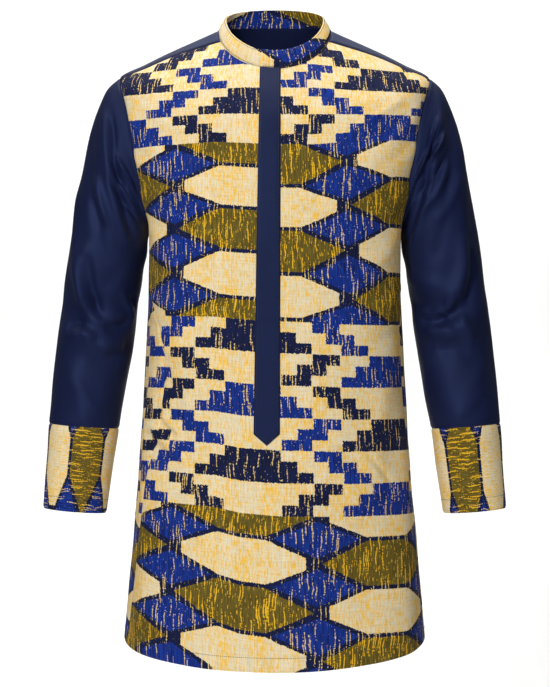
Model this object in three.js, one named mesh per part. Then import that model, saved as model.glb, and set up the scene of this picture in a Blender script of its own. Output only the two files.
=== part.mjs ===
// A long-sleeved tunic with a stand collar and a half-length placket, standing in the hollow shape that it
// has when worn. Millimetres, +Z up, the front faces -Y, and +X is the wearer's left. The origin is midway
// between the high points of the two shoulders, beside the neck, which is where the wearer's shoulders
// carry it.
//
// The body is one smooth form made of rings. A ring has an angle, 0 at the centre front, 90 at the
// wearer's left side and 180 at the centre back, and a level: 0 at the neck seam, 1 at the shoulder tip, 2
// at the underarm and 4 at the hem. Front, back and yoke are areas of that form, so that their edges meet
// along shared seams. The sleeves are lofted from the armhole to the cuff. Every piece is a wall of cloth
// with both faces and its edges.
import * as THREE from "three";

const CLOTH = 2; // thickness of one wall of cloth
const COLLAR_CLOTH = 2.6; // the collar is two layers and a stiffener
const SEAM_GAP = 0.3; // space between two pieces along a seam
const LAYER_GAP = 0.5; // space between a panel and a band that lies on it

// ---------------------------------------------------------------- tables

// Rows of numbers as objects with named columns.
function table(columns, rows) {
  return rows.map((row) => Object.fromEntries(columns.map((name, k) => [name, row[k]])));
}

// Slope of a smooth curve at a row, flat where the values turn round, so that the curve never overshoots.
function slopeAt(rows, key, column, i) {
  const slope = (a, b) => (rows[b][column] - rows[a][column]) / (rows[b][key] - rows[a][key]);
  if (i === 0) return slope(0, 1);
  if (i === rows.length - 1) return slope(i - 1, i);
  const before = slope(i - 1, i);
  const after = slope(i, i + 1);
  return before * after <= 0 ? 0 : (2 * before * after) / (before + after);
}

// Height of a smooth curve at t, from 0 to 1, that rises between two slopes.
const smooth = (start, rise, slope0, slope1, t) =>
  start + t * (slope0 + t * (3 * rise - 2 * slope0 - slope1 + t * (slope0 + slope1 - 2 * rise)));

// All the columns of a table at any value of its key column.
function sample(rows, key, value) {
  let i = 0;
  while (i < rows.length - 2 && value > rows[i + 1][key]) i++;
  const span = rows[i + 1][key] - rows[i][key];
  const t = (value - rows[i][key]) / span;
  const result = {};
  for (const column of Object.keys(rows[i])) {
    const start = rows[i][column];
    const slope0 = slopeAt(rows, key, column, i) * span;
    const slope1 = slopeAt(rows, key, column, i + 1) * span;
    result[column] = smooth(start, rows[i + 1][column] - start, slope0, slope1, t);
  }
  return result;
}

const mix = (a, b, t) => a + (b - a) * t;
const steps = (count) => Array.from({ length: count + 1 }, (_, k) => k / count);

// ---------------------------------------------------------------- body form

// side: half width and height at the side; front and back: depth and height on the centre lines. square: 2
// is an ellipse and more is boxier. lift: how a ring that is high at the side comes down from there.
const BODY_RINGS = table(
  ["level", "sideX", "sideZ", "frontY", "frontZ", "backY", "backZ", "square", "lift"],
  [
    [0.0, 86, -3, -58, -65, 54, 10, 2.0, 1.25],
    [0.5, 161, -35, -79, -98, 84, -60, 2.1, 1.8],
    [0.75, 197, -53, -90, -119, 95, -92, 2.2, 1.9],
    [1.0, 235, -73, -101, -142, 106, -125, 2.3, 2],
    [1.1, 239.5, -84, -106, -157, 109.5, -142, 2.3, 2],
    [1.25, 236, -116, -113, -180, 113.5, -168, 2.35, 2],
    [1.5, 229, -185, -123, -222, 118, -215, 2.4, 2],
    [1.75, 213, -245, -130, -262, 120.5, -258, 2.6, 2],
    [2.0, 190.5, -302, -134, -302, 122, -302, 2.8, 2],
    [2.25, 190.5, -380, -136, -380, 120, -380, 2.65, 2],
    [2.5, 193.8, -460, -137, -460, 117, -460, 2.5, 2],
    [3.0, 203, -620, -140, -620, 121, -620, 2.3, 2],
    [3.5, 215.5, -780, -147, -780, 133, -780, 2.2, 2],
    [4.0, 228.8, -921, -156, -955, 148, -955, 2.15, 1.15],
  ],
);

// The collar's upper edge is one more ring, in the same terms.
const COLLAR_TOP = {
  sideX: 74.5, sideZ: 17, frontY: -50, frontZ: -36, backY: 47, backZ: 37, square: 2, lift: 1.25,
};

// Soft folds on the body: a line from one angle and height to another, its height above the cloth (a trough
// is negative) and its half width. MAP_SCALE turns an angle on the body into millimetres of cloth.
const MAP_SCALE = 2.9;
const FOLD_END = 1.6; // a fold fades out past its ends over this many half widths
const BODY_FOLDS = table(
  ["angle0", "z0", "angle1", "z1", "height", "width"],
  [
    [-58, -150, -34, -235, 3.0, 15],
    [-64, -235, -30, -300, -3.0, 18],
    [-66, -300, -40, -380, 3.2, 17],
    [58, -135, 36, -215, 3.4, 15],
    [64, -225, 34, -285, -3.0, 17],
    [68, -300, 42, -370, 3.2, 16],
    [-52, -520, -36, -640, -3.0, 20],
    [-66, -600, -58, -900, 4.2, 26],
    [-42, -690, -37, -960, -3.4, 24],
    [50, -560, 40, -700, 3.0, 20],
    [66, -620, 58, -920, 4.2, 26],
    [38, -700, 33, -960, -3.2, 24],
    [10, -700, 8, -960, 3.0, 34],
    [118, -190, 150, -290, 4.0, 18],
    [-118, -190, -150, -290, 4.0, 18],
    [116, -330, 148, -420, -4.0, 20],
    [-116, -330, -146, -430, -4.0, 20],
    [132, -480, 128, -940, 5.0, 26],
    [-132, -470, -127, -940, 5.0, 26],
    [158, -520, 155, -950, -4.5, 26],
    [-160, -540, -156, -950, -4.5, 26],
    [180, -560, 180, -950, 4.5, 30],
    [-104, -560, -100, -930, -4.0, 24],
    [104, -560, 100, -930, -4.0, 24],
  ],
);

// Height of one fold at a place, from the nearest point of its line. It fades out over both ends.
function foldHeight(fold, across, along, endAcross, endAlong, placeAcross, placeAlong) {
  const runAcross = endAcross - across;
  const runAlong = endAlong - along;
  const length = Math.hypot(runAcross, runAlong);
  const share = ((placeAcross - across) * runAcross + (placeAlong - along) * runAlong) / (length * length);
  const beyond = Math.max(0, -share, share - 1) * length;
  const side = ((placeAcross - across) * runAlong - (placeAlong - along) * runAcross) / length;
  return fold.height * Math.exp(-((side / fold.width) ** 2) - (beyond / (FOLD_END * fold.width)) ** 2);
}

// Height of all the body's folds at a place.
function bodyFold(angle, z) {
  let sum = 0;
  for (const fold of BODY_FOLDS) {
    let away = angle - fold.angle0;
    away -= 360 * Math.round(away / 360);
    const run = (fold.angle1 - fold.angle0) * MAP_SCALE;
    sum += foldHeight(fold, 0, fold.z0, run, fold.z1, away * MAP_SCALE, z);
  }
  return sum;
}

// A point of a ring: a rounded box seen from above, tilted from front to back and curved down at the sides.
function ringPoint(ring, angle) {
  const sin = Math.sin(THREE.MathUtils.degToRad(angle));
  const cos = Math.cos(THREE.MathUtils.degToRad(angle));
  const reach = (Math.abs(sin) ** ring.square + Math.abs(cos) ** ring.square) ** (-1 / ring.square);
  const depth = cos > 0 ? ring.frontY : -ring.backY;
  const tilt = (ring.frontZ - ring.backZ) / 2;
  const dip = (ring.frontZ + ring.backZ) / 2 - ring.sideZ;
  return new THREE.Vector3(
    ring.sideX * sin * reach,
    depth * cos * reach,
    ring.sideZ + tilt * cos + dip * Math.abs(cos) ** ring.lift,
  );
}

// Outward unit normal of a surface that is a function of two numbers, from a small step along each.
function normalOf(surface, a, b, stepA, stepB) {
  const alongA = surface(a + stepA, b).sub(surface(a - stepA, b));
  const alongB = surface(a, b + stepB).sub(surface(a, b - stepB));
  return alongB.cross(alongA).normalize();
}

const ANGLE_STEP = 0.5; // degrees
const LEVEL_STEP = 0.005;

const plainBody = (angle, level) => ringPoint(sample(BODY_RINGS, "level", level), angle);

function bodyPoint(angle, level) {
  const point = plainBody(angle, level);
  const normal = normalOf(plainBody, angle, level, ANGLE_STEP, LEVEL_STEP);
  return point.addScaledVector(normal, bodyFold(angle, point.z));
}

const bodyNormal = (angle, level) => normalOf(bodyPoint, angle, level, ANGLE_STEP, LEVEL_STEP);

// ---------------------------------------------------------------- seams of the body

// The armhole is an oval in angle and level. Its own angle, turn, is 0 at the shoulder tip, 90 in front and
// 180 underneath.
const ARM_FRONT = 29; // how far the armhole reaches in front of the side, in degrees of the body
const ARM_BACK = 27;
const ARM_STEP = 12; // degrees of the armhole between two points that the panels and the sleeve share
const YOKE_FRONT = 24; // armhole angle where the front yoke seam ends
const YOKE_BACK = -48; // armhole angle where the back yoke seam ends
const YOKE_NECK = 73; // body angle of the front yoke seam at the neck
const YOKE_CENTRE = 0.78; // level of the back yoke seam at the centre back

function armhole(turn) {
  const sin = Math.sin(THREE.MathUtils.degToRad(turn));
  const cos = Math.cos(THREE.MathUtils.degToRad(turn));
  return { angle: 90 - (sin > 0 ? ARM_FRONT : ARM_BACK) * sin, level: 1.5 - 0.5 * cos };
}

// The side seams swing forward at the hip, where the pocket openings pull on them. The table has the
// degrees that each seam stands in front of the side.
const SIDE_SEAMS = table(
  ["level", "left", "right"],
  [
    [2.0, 0, 0],
    [2.3, 9, 20],
    [2.6, 19, 37],
    [2.85, 18, 37],
    [3.2, 11, 27],
    [4.0, 7, 14],
  ],
);

const sideSeam = (level, side) => 90 - sample(SIDE_SEAMS, "level", level)[side > 0 ? "left" : "right"];

const CORNER = armhole(YOKE_FRONT);
const SHOULDER_ROWS = 8;
const SKIRT_ROWS = 17;
const shoulderLevels = steps(SHOULDER_ROWS).map((t) => t * CORNER.level);
const skirtLevels = steps(SKIRT_ROWS).map((t) => 2 + 2 * t);

// The front panel's edge on one side, from the neck: along the yoke, down the armhole, then the side seam.
// Each row of the panel starts there, and centre is its level on the centre line.
function frontEdge(side) {
  const edge = shoulderLevels.map((level) => ({
    level,
    angle: mix(YOKE_NECK, CORNER.angle, level / CORNER.level),
    centre: level,
  }));
  for (let turn = YOKE_FRONT + ARM_STEP; turn <= 180; turn += ARM_STEP) {
    const centre = mix(CORNER.level, 2, (turn - YOKE_FRONT) / (180 - YOKE_FRONT));
    edge.push({ ...armhole(turn), centre });
  }
  for (const level of skirtLevels.slice(1)) edge.push({ level, angle: sideSeam(level, side), centre: level });
  return edge;
}

// Level of a place between a panel's edge (share 0) and its centre line (share 1), where rows run level.
const acrossPanel = (edge, centre, share) => mix(edge, centre, Math.sin((share * Math.PI) / 2));

// ---------------------------------------------------------------- walls of cloth

// Builds a closed wall from a grid of places. columns and rows count the places; at(i, j) gives the outer
// point and the way through the cloth; kept(i, j) says whether a cell is cloth; round joins the last
// column to the first; inset moves the outside edges in, which leaves the gap at each seam.
function wall({ columns, rows, at, kept = () => true, round = false, inset = SEAM_GAP / 2 }) {
  const outer = [];
  const index = (i, j) => (round ? i % columns : i) + columns * j;
  for (let j = 0; j < rows; j++) for (let i = 0; i < columns; i++) outer.push(at(i, j));
  const cellColumns = round ? columns : columns - 1;
  const shifts = outer.map((place, k) => {
    const i = k % columns;
    const j = Math.floor(k / columns);
    const shift = new THREE.Vector3();
    const nudge = (alongPrevious, alongNext, within) => {
      const edge = outer[alongNext].point.clone().sub(outer[alongPrevious].point);
      const into = outer[within].point.clone().sub(place.point);
      into.addScaledVector(edge, -into.dot(edge) / edge.lengthSq());
      into.addScaledVector(place.through, -into.dot(place.through) / place.through.lengthSq());
      shift.addScaledVector(into.normalize(), inset);
    };
    const left = round ? index(i + columns - 1, j) : index(Math.max(i - 1, 0), j);
    const right = round ? index(i + 1, j) : index(Math.min(i + 1, columns - 1), j);
    if (j === 0) nudge(left, right, index(i, 1));
    if (j === rows - 1) nudge(left, right, index(i, j - 1));
    const above = index(i, Math.max(j - 1, 0));
    const below = index(i, Math.min(j + 1, rows - 1));
    if (!round && i === 0) nudge(above, below, index(1, j));
    if (!round && i === columns - 1) nudge(above, below, index(i - 1, j));
    return shift;
  });
  const positions = [];
  for (const depth of [0, 1]) {
    for (const [k, place] of outer.entries()) {
      positions.push(...place.point.clone().addScaledVector(place.through, -depth).add(shifts[k]).toArray());
    }
  }
  const isCloth = (i, j) => {
    if (j < 0 || j >= rows - 1) return false;
    if (round) return kept((i + columns) % columns, j);
    return i >= 0 && i < cellColumns && kept(i, j);
  };
  const triangles = [];
  const quad = (a, b, c, d) => triangles.push(a, b, c, a, c, d);
  const inner = outer.length; // from a point's index to that of the point behind it
  for (let j = 0; j < rows - 1; j++) {
    for (let i = 0; i < cellColumns; i++) {
      if (!isCloth(i, j)) continue;
      const [a, b, c, d] = [index(i, j), index(i, j + 1), index(i + 1, j + 1), index(i + 1, j)];
      quad(a, b, c, d);
      quad(d + inner, c + inner, b + inner, a + inner);
      if (!isCloth(i - 1, j)) quad(a, a + inner, b + inner, b);
      if (!isCloth(i, j + 1)) quad(b, b + inner, c + inner, c);
      if (!isCloth(i + 1, j)) quad(d, c, c + inner, d + inner);
      if (!isCloth(i, j - 1)) quad(a, d, d + inner, a + inner);
    }
  }
  const geometry = new THREE.BufferGeometry();
  geometry.setAttribute("position", new THREE.Float32BufferAttribute(positions, 3));
  geometry.setIndex(signedVolume(positions, triangles) < 0 ? triangles.reverse() : triangles);
  geometry.computeVertexNormals();
  return geometry;
}

function signedVolume(positions, triangles) {
  const corner = (k) => new THREE.Vector3().fromArray(positions, 3 * triangles[k]);
  let sum = 0;
  for (let k = 0; k < triangles.length; k += 3) sum += corner(k).dot(corner(k + 1).cross(corner(k + 2)));
  return sum / 6;
}

// Where two surfaces meet at an angle, both walls are cut on the line that halves it.
const MITRE_LEAST = 0.6; // keeps the cut short where the angle is sharp
function mitre(normalA, normalB, thickness) {
  const middle = normalA.clone().add(normalB).normalize();
  return middle.multiplyScalar(thickness / Math.max(MITRE_LEAST, middle.dot(normalA)));
}

// ---------------------------------------------------------------- sleeves

// Each ring of the sleeve by its outer and inner points, how far forward its middle is, and its half depth.
// Ring 0 is the armhole itself, ring CUFF_RING the cuff seam, and the last one the cuff's hem.
const SLEEVE_RINGS = table(
  ["outerX", "outerZ", "innerX", "innerZ", "middleY", "depth"],
  [
    [258, -98, 191.2, -308, -1, 59],
    [279, -155, 192.2, -321, 0, 64],
    [297.2, -243, 194.6, -341, 3, 68],
    [313.5, -342, 200, -368, 6, 67],
    [322.5, -408, 207.5, -420, 9, 64],
    [332.2, -482, 217, -490, 8, 60],
    [338.2, -543, 227, -551, 0, 57],
    [341.5, -597, 236.5, -605, -10, 53],
    [344.8, -660, 244.8, -668, -22, 48.5],
    [348.4, -723, 253.3, -731, -34, 44.5],
  ],
);
const CUFF_RING = 8;
const HEM_RING = SLEEVE_RINGS.length;
const ARM_POINTS = 360 / ARM_STEP;
const ROWS_PER_RING = 3;

// Sleeve folds by turn (degrees round the arm, 90 in front) and ring. TURN_SCALE and RING_SCALE turn those
// into millimetres. The folds fade in below the armhole and out above the hem, over a number of rings.
const TURN_SCALE = 1.1;
const RING_SCALE = 66;
const ARMHOLE_FADE = 0.8;
const HEM_FADE = 1.5;
const FOLD_COLUMNS = ["turn0", "ring0", "turn1", "ring1", "height", "width"];
const SLEEVE_FOLDS = {
  left: table(FOLD_COLUMNS, [
    [58, 1.2, 128, 2.7, 4.2, 11],
    [76, 1.0, 142, 2.3, -3.6, 10],
    [34, 1.6, 98, 3.6, -3.8, 13],
    [30, 2.4, 74, 4.4, 3.8, 14],
    [150, 4.3, 92, 4.7, 4.2, 16],
    [156, 5.0, 84, 5.3, -5.0, 15],
    [40, 5.2, 96, 5.7, 4.0, 16],
    [146, 5.9, 78, 6.1, -3.8, 16],
    [60, 6.6, 100, 7.6, 3.2, 16],
    [222, 4.4, 290, 5.0, 4.0, 16],
    [214, 5.2, 282, 5.5, -4.4, 16],
    [318, 1.8, 250, 3.4, 4.0, 14],
    [300, 2.8, 236, 4.2, -3.6, 13],
    [250, 6.2, 300, 7.4, -3.2, 15],
  ]),
  right: table(FOLD_COLUMNS, [
    [62, 1.1, 120, 2.6, -3.8, 10],
    [46, 1.4, 112, 3.0, 4.2, 12],
    [32, 2.2, 92, 3.9, -3.6, 13],
    [20, 3.2, 62, 4.9, 4.2, 13],
    [150, 4.9, 88, 5.1, -5.0, 15],
    [112, 4.2, 76, 5.3, -3.6, 14],
    [30, 5.2, 76, 5.4, -3.4, 15],
    [50, 5.7, 104, 5.9, 4.6, 15],
    [150, 5.9, 108, 6.2, -3.4, 15],
    [70, 6.8, 96, 7.7, 3.0, 16],
    [226, 4.5, 286, 4.9, 4.0, 16],
    [216, 5.1, 288, 5.6, -4.4, 16],
    [314, 1.7, 246, 3.2, 4.0, 14],
    [296, 2.9, 238, 4.4, -3.6, 13],
    [262, 6.4, 296, 7.5, -3.0, 15],
  ]),
};

// A point of one ring of a sleeve. side is 1 for the wearer's left sleeve and -1 for the right.
function sleeveRing(ring, turn, side) {
  if (ring === 0) {
    const seam = armhole(turn);
    return bodyPoint(side * seam.angle, seam.level);
  }
  const row = SLEEVE_RINGS[ring - 1];
  const sin = Math.sin(THREE.MathUtils.degToRad(turn));
  const cos = Math.cos(THREE.MathUtils.degToRad(turn));
  return new THREE.Vector3(
    side * mix(row.innerX, row.outerX, (1 + cos) / 2),
    row.middleY - row.depth * sin,
    mix(row.innerZ, row.outerZ, (1 + cos) / 2),
  );
}

// A point of the unfolded sleeve, on a smooth curve through the rings.
function plainSleeve(turn, ring, side) {
  const i = Math.min(Math.max(Math.floor(ring), 0), HEM_RING - 1);
  const [before, start, end, after] = [i - 1, i, i + 1, i + 2].map((k) =>
    sleeveRing(Math.min(Math.max(k, 0), HEM_RING), turn, side),
  );
  const t = ring - i;
  const curve = new THREE.Vector3();
  for (const axis of ["x", "y", "z"]) {
    const slope0 = (end[axis] - before[axis]) / (i > 0 ? 2 : 1);
    const slope1 = (after[axis] - start[axis]) / (i + 2 <= HEM_RING ? 2 : 1);
    curve[axis] = smooth(start[axis], end[axis] - start[axis], slope0, slope1, t);
  }
  return curve;
}

const RING_STEP = 0.01;

// Turns run against the body's angles on the left sleeve, and the right sleeve is its mirror image. The
// normal of the armhole itself is taken two steps down the sleeve.
const sleeveNormal = (surface, turn, ring, side) => {
  const below = Math.max(ring, 2 * RING_STEP);
  return normalOf((a, b) => surface(a, b, side), turn, below, -ANGLE_STEP * side, RING_STEP);
};

function sleevePoint(turn, ring, side) {
  let height = 0;
  for (const fold of SLEEVE_FOLDS[side > 0 ? "left" : "right"]) {
    let away = turn - fold.turn0;
    away -= 360 * Math.round(away / 360);
    const run = (fold.turn1 - fold.turn0) * TURN_SCALE;
    const length = (fold.ring1 - fold.ring0) * RING_SCALE;
    height += foldHeight(fold, 0, 0, run, length, away * TURN_SCALE, (ring - fold.ring0) * RING_SCALE);
  }
  const fade = Math.min(1, ring / ARMHOLE_FADE) * Math.min(1, (HEM_RING - ring) / HEM_FADE);
  const normal = sleeveNormal(plainSleeve, turn, ring, side);
  return plainSleeve(turn, ring, side).addScaledVector(normal, height * fade);
}

// Where the sleeve meets the body, both are cut along the mitre.
function armholeMitre(turn, side) {
  const seam = armhole(turn);
  return mitre(bodyNormal(side * seam.angle, seam.level), sleeveNormal(sleevePoint, turn, 0, side), CLOTH);
}

function sleevePlace(turn, ring, side) {
  const square = sleeveNormal(sleevePoint, turn, ring, side).multiplyScalar(CLOTH);
  return { point: sleevePoint(turn, ring, side), through: ring > 0 ? square : armholeMitre(turn, side) };
}

function sleeve(side, firstRing, lastRing) {
  const rows = (lastRing - firstRing) * ROWS_PER_RING + 1;
  return wall({
    columns: ARM_POINTS,
    rows,
    round: true,
    at: (i, j) => sleevePlace(i * ARM_STEP, firstRing + j / ROWS_PER_RING, side),
  });
}

// ---------------------------------------------------------------- body panels

// A place on the body, cut square to the cloth or, on the armhole and the neck, along the mitre with its
// neighbour.
function bodyPlace(angle, level, turn = null, side = 1) {
  const point = bodyPoint(angle, level);
  if (turn !== null) return { point, through: armholeMitre(turn, side) };
  if (level === 0) return { point, through: neckMitre(angle) };
  return { point, through: bodyNormal(angle, level).multiplyScalar(CLOTH) };
}

// The placket: half width and centre line, from the neck to where its point begins, and the window under
// it.
const PLACKET = { topX: -6.6, endX: -11.5, topHalf: 15.6, endHalf: 19.2, endZ: -609, tipZ: -626 };
const PLACKET_CLOTH = 1.8;
const PLACKET_OVERLAP = 6; // how far the band covers the front on each side of the window
const WINDOW_ROW = 29; // the front's row where the window ends, hidden by the band

function placketAt(z) {
  const top = BODY_RINGS[0].frontZ;
  const share = THREE.MathUtils.clamp((z - top) / (PLACKET.endZ - top), 0, 1);
  return {
    centre: mix(PLACKET.topX, PLACKET.endX, share),
    half: mix(PLACKET.topHalf, PLACKET.endHalf, share),
  };
}

const frontZ = (level) => sample(BODY_RINGS, "level", level).frontZ;

// Angle of a place on the front that is x to the side of the centre.
function angleOfX(x, level) {
  return THREE.MathUtils.radToDeg(Math.asin(x / sample(BODY_RINGS, "level", level).sideX));
}

// Level at which the centre front has a height, by halving.
function levelOfFrontZ(z) {
  let [high, low] = [0, 4];
  for (let halvings = 0; halvings < 40; halvings++) {
    const middle = (high + low) / 2;
    if (frontZ(middle) > z) high = middle;
    else low = middle;
  }
  return low;
}

const FRONT_EDGES = { left: frontEdge(1), right: frontEdge(-1) };
const FRONT_SIDE_COLUMNS = 11; // on each side of the placket
const SHOULDER_END = SHOULDER_ROWS;
const ARM_END = SHOULDER_ROWS + (180 - YOKE_FRONT) / ARM_STEP;

// The front's places in one row. They spread to both sides of the placket, whose edges are columns
// themselves.
function frontRow(row) {
  const left = FRONT_EDGES.left[row];
  const right = FRONT_EDGES.right[row];
  const level = left.centre;
  const band = placketAt(frontZ(level));
  const stops = [-band.half, PLACKET_OVERLAP - band.half, 0, band.half - PLACKET_OVERLAP, band.half];
  const middle = stops.map((offset) => ({ angle: angleOfX(band.centre + offset, level), level }));
  const spread = steps(FRONT_SIDE_COLUMNS);
  return [
    ...spread.slice(0, -1).map((t) => ({
      angle: mix(-right.angle, middle[0].angle, t),
      level: acrossPanel(right.level, level, t),
    })),
    ...middle,
    ...spread.slice(1).map((t) => ({
      angle: mix(middle[4].angle, left.angle, t),
      level: acrossPanel(left.level, level, 1 - t),
    })),
  ];
}

function front() {
  const grid = FRONT_EDGES.left.map((_, row) => frontRow(row));
  const last = grid[0].length - 1;
  const window = [FRONT_SIDE_COLUMNS + 1, FRONT_SIDE_COLUMNS + 2];
  return wall({
    columns: last + 1,
    rows: grid.length,
    at: (i, j) => {
      const onArmhole = j >= SHOULDER_END && j <= ARM_END && (i === 0 || i === last);
      const turn = onArmhole ? YOKE_FRONT + (j - SHOULDER_END) * ARM_STEP : null;
      return bodyPlace(grid[j][i].angle, grid[j][i].level, turn, i === 0 ? -1 : 1);
    },
    kept: (i, j) => !(window.includes(i) && j < WINDOW_ROW),
  });
}

// A band on the front, lift millimetres out. stops give its columns' places from its half width, and
// levelAt the level of each place.
function frontBand(stops, levelAt, rows, lift, thickness, inset) {
  return wall({
    columns: stops.length,
    rows,
    inset,
    at: (i, j) => {
      const level = levelAt(i, j);
      const band = placketAt(frontZ(level));
      const angle = angleOfX(band.centre + stops[i](band.half), level);
      const normal = bodyNormal(angle, level);
      const point = bodyPoint(angle, level).addScaledVector(normal, lift);
      return { point, through: normal.multiplyScalar(thickness) };
    },
  });
}

// The band that shows: the front's own rows down to the last one that is clear of its point, then the
// point.
const POINT_CLEAR = 12;
function placket() {
  const stops = [
    (half) => -half,
    (half) => PLACKET_OVERLAP - half,
    () => 0,
    (half) => half - PLACKET_OVERLAP,
    (half) => half,
  ];
  const levels = FRONT_EDGES.left
    .map((edge) => edge.centre)
    .filter((level) => frontZ(level) > PLACKET.endZ + POINT_CLEAR);
  const end = levelOfFrontZ(PLACKET.endZ);
  const tip = levelOfFrontZ(PLACKET.tipZ);
  const share = PLACKET_OVERLAP / PLACKET.endHalf;
  const point = [end, mix(end, tip, share), tip, mix(end, tip, share), end];
  const lift = LAYER_GAP + PLACKET_CLOTH;
  const levelAt = (i, j) => levels[j] ?? point[i];
  return frontBand(stops, levelAt, levels.length + 1, lift, PLACKET_CLOTH, SEAM_GAP / 2);
}

// The band under it, which fills the window in the front.
function placketUnder() {
  const stops = [
    (half) => PLACKET_OVERLAP + SEAM_GAP - half,
    () => 0,
    (half) => half - PLACKET_OVERLAP - SEAM_GAP,
  ];
  const levels = FRONT_EDGES.left.slice(0, WINDOW_ROW + 1).map((edge) => edge.centre);
  return frontBand(stops, (i, j) => levels[j], levels.length, 0, CLOTH, SEAM_GAP);
}

const YOKE_BACK_COLUMNS = 9; // on each side of the centre back, shared with the back panel
const BACK_CORNER = armhole(YOKE_BACK);

// The back yoke seam, from the armhole to the centre back.
const backSeam = (share) => ({
  angle: mix(BACK_CORNER.angle, 180, share),
  level: acrossPanel(BACK_CORNER.level, YOKE_CENTRE, share),
});

// The yoke goes over both shoulders and round the back of the neck. Its lower edge runs from the front
// corner along the armhole and then along the back seam.
function yoke() {
  const half = [];
  for (let turn = YOKE_FRONT; turn >= YOKE_BACK; turn -= ARM_STEP) half.push({ ...armhole(turn), turn });
  for (const share of steps(YOKE_BACK_COLUMNS).slice(1)) half.push({ ...backSeam(share), turn: null });
  const neckAt = (k) => mix(YOKE_NECK, 180, k / (half.length - 1));
  const places = half.map((low, k) => ({ ...low, neck: neckAt(k), side: 1 }));
  const mirrored = places
    .slice(0, -1)
    .reverse()
    .map((place) => ({ ...place, angle: 360 - place.angle, neck: 360 - place.neck, side: -1 }));
  const columns = [...places, ...mirrored];
  return wall({
    columns: columns.length,
    rows: SHOULDER_ROWS + 1,
    at: (i, j) => {
      const share = j / SHOULDER_ROWS;
      const { angle, level, neck, turn, side } = columns[i];
      const edge = j === SHOULDER_ROWS ? turn : null;
      return bodyPlace(mix(neck, angle, share), level * share, edge, side);
    },
  });
}

// The back panel, from the back yoke seam and the armholes to the hem.
function back() {
  const edges = [];
  for (let turn = YOKE_BACK; turn >= -180; turn -= ARM_STEP) {
    const seam = armhole(turn);
    const centre = mix(YOKE_CENTRE, 2, (turn - YOKE_BACK) / (-180 - YOKE_BACK));
    edges.push({ left: seam.angle, right: seam.angle, level: seam.level, centre, turn });
  }
  for (const level of skirtLevels.slice(1)) {
    edges.push({ left: sideSeam(level, 1), right: sideSeam(level, -1), level, centre: level, turn: null });
  }
  const columns = 2 * YOKE_BACK_COLUMNS + 1;
  return wall({
    columns,
    rows: edges.length,
    at: (i, j) => {
      const row = edges[j];
      const share = Math.abs(i - YOKE_BACK_COLUMNS) / YOKE_BACK_COLUMNS; // 1 at the edge
      const side = i <= YOKE_BACK_COLUMNS ? 1 : -1;
      const away = mix(180, side > 0 ? row.left : row.right, share);
      const edge = share === 1 ? row.turn : null;
      return bodyPlace(side * away, acrossPanel(row.level, row.centre, 1 - share), edge, side);
    },
  });
}

// ---------------------------------------------------------------- collar

const COLLAR_ROWS = 2;
const COLLAR_BULGE = 1.2; // how far its middle stands out
const COLLAR_LAP = 4; // columns that lie under the start
const COLLAR_TUCK = 3.4; // how far the end that lies underneath goes inside the end on top
const TUCK_FROM = 34; // degrees before the start where the collar begins to go inside, and where it has
const TUCK_TO = 4;

// A point of the collar by body angle and share of its height.
function collarPoint(angle, share) {
  const low = bodyPoint(angle, 0);
  const high = ringPoint(COLLAR_TOP, angle);
  const bulge = COLLAR_BULGE * Math.sin(Math.PI * share);
  const out = new THREE.Vector3(low.x, low.y, 0).normalize();
  return low.lerp(high, share).addScaledVector(out, bulge);
}

const SHARE_STEP = 0.01;
const collarNormal = (angle, share) =>
  normalOf((a, s) => collarPoint(a, -s), angle, -share, ANGLE_STEP, SHARE_STEP);

const neckMitre = (angle) => mitre(bodyNormal(angle, 0), collarNormal(angle, 0), CLOTH);

// The collar starts on top at the placket's edge, goes round the neck, and ends underneath its own start.
function collar() {
  const front = frontRow(0).map((place) => place.angle);
  const start = FRONT_SIDE_COLUMNS; // the placket's edge on the wearer's right
  const yokeColumns = 2 * (YOKE_BACK_COLUMNS + (YOKE_FRONT - YOKE_BACK) / ARM_STEP);
  const round = [
    ...front.slice(start),
    ...steps(yokeColumns).slice(1, -1).map((t) => mix(YOKE_NECK, 360 - YOKE_NECK, t)),
    ...front.slice(0, start + COLLAR_LAP).map((angle) => 360 + angle),
  ];
  const onceRound = 360 + front[start];
  return wall({
    columns: round.length,
    rows: COLLAR_ROWS + 1,
    at: (i, j) => {
      const share = 1 - j / COLLAR_ROWS;
      const angle = round[i];
      const point = collarPoint(angle, share);
      const normal = collarNormal(angle, share);
      const tucked = THREE.MathUtils.smoothstep(angle, onceRound - TUCK_FROM, onceRound - TUCK_TO);
      const tuck = tucked * COLLAR_TUCK;
      const neckCut = mitre(bodyNormal(angle, 0), normal, COLLAR_CLOTH);
      const through = share === 0 && tuck === 0 ? neckCut : normal.clone().multiplyScalar(COLLAR_CLOTH);
      return { point: point.addScaledVector(normal, -tuck), through };
    },
  });
}

// ---------------------------------------------------------------- the garment

const CLOTHS = {
  print: new THREE.MeshStandardMaterial({ name: "printed_cotton", color: 0xd9c48a, roughness: 0.85 }),
  navy: new THREE.MeshStandardMaterial({ name: "navy_twill", color: 0x1c2547, roughness: 0.7 }),
};

const PIECES = [
  ["front", front(), CLOTHS.print],
  ["back", back(), CLOTHS.print],
  ["yoke", yoke(), CLOTHS.navy],
  ["collar", collar(), CLOTHS.print],
  ["placket", placket(), CLOTHS.navy],
  ["placket_under", placketUnder(), CLOTHS.navy],
  ["sleeve_left", sleeve(1, 0, CUFF_RING), CLOTHS.navy],
  ["sleeve_right", sleeve(-1, 0, CUFF_RING), CLOTHS.navy],
  ["cuff_left", sleeve(1, CUFF_RING, HEM_RING), CLOTHS.print],
  ["cuff_right", sleeve(-1, CUFF_RING, HEM_RING), CLOTHS.print],
];

const tunic = new THREE.Group();
for (const [name, geometry, cloth] of PIECES) {
  const mesh = new THREE.Mesh(geometry, cloth);
  mesh.name = name;
  tunic.add(mesh);
}

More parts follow.
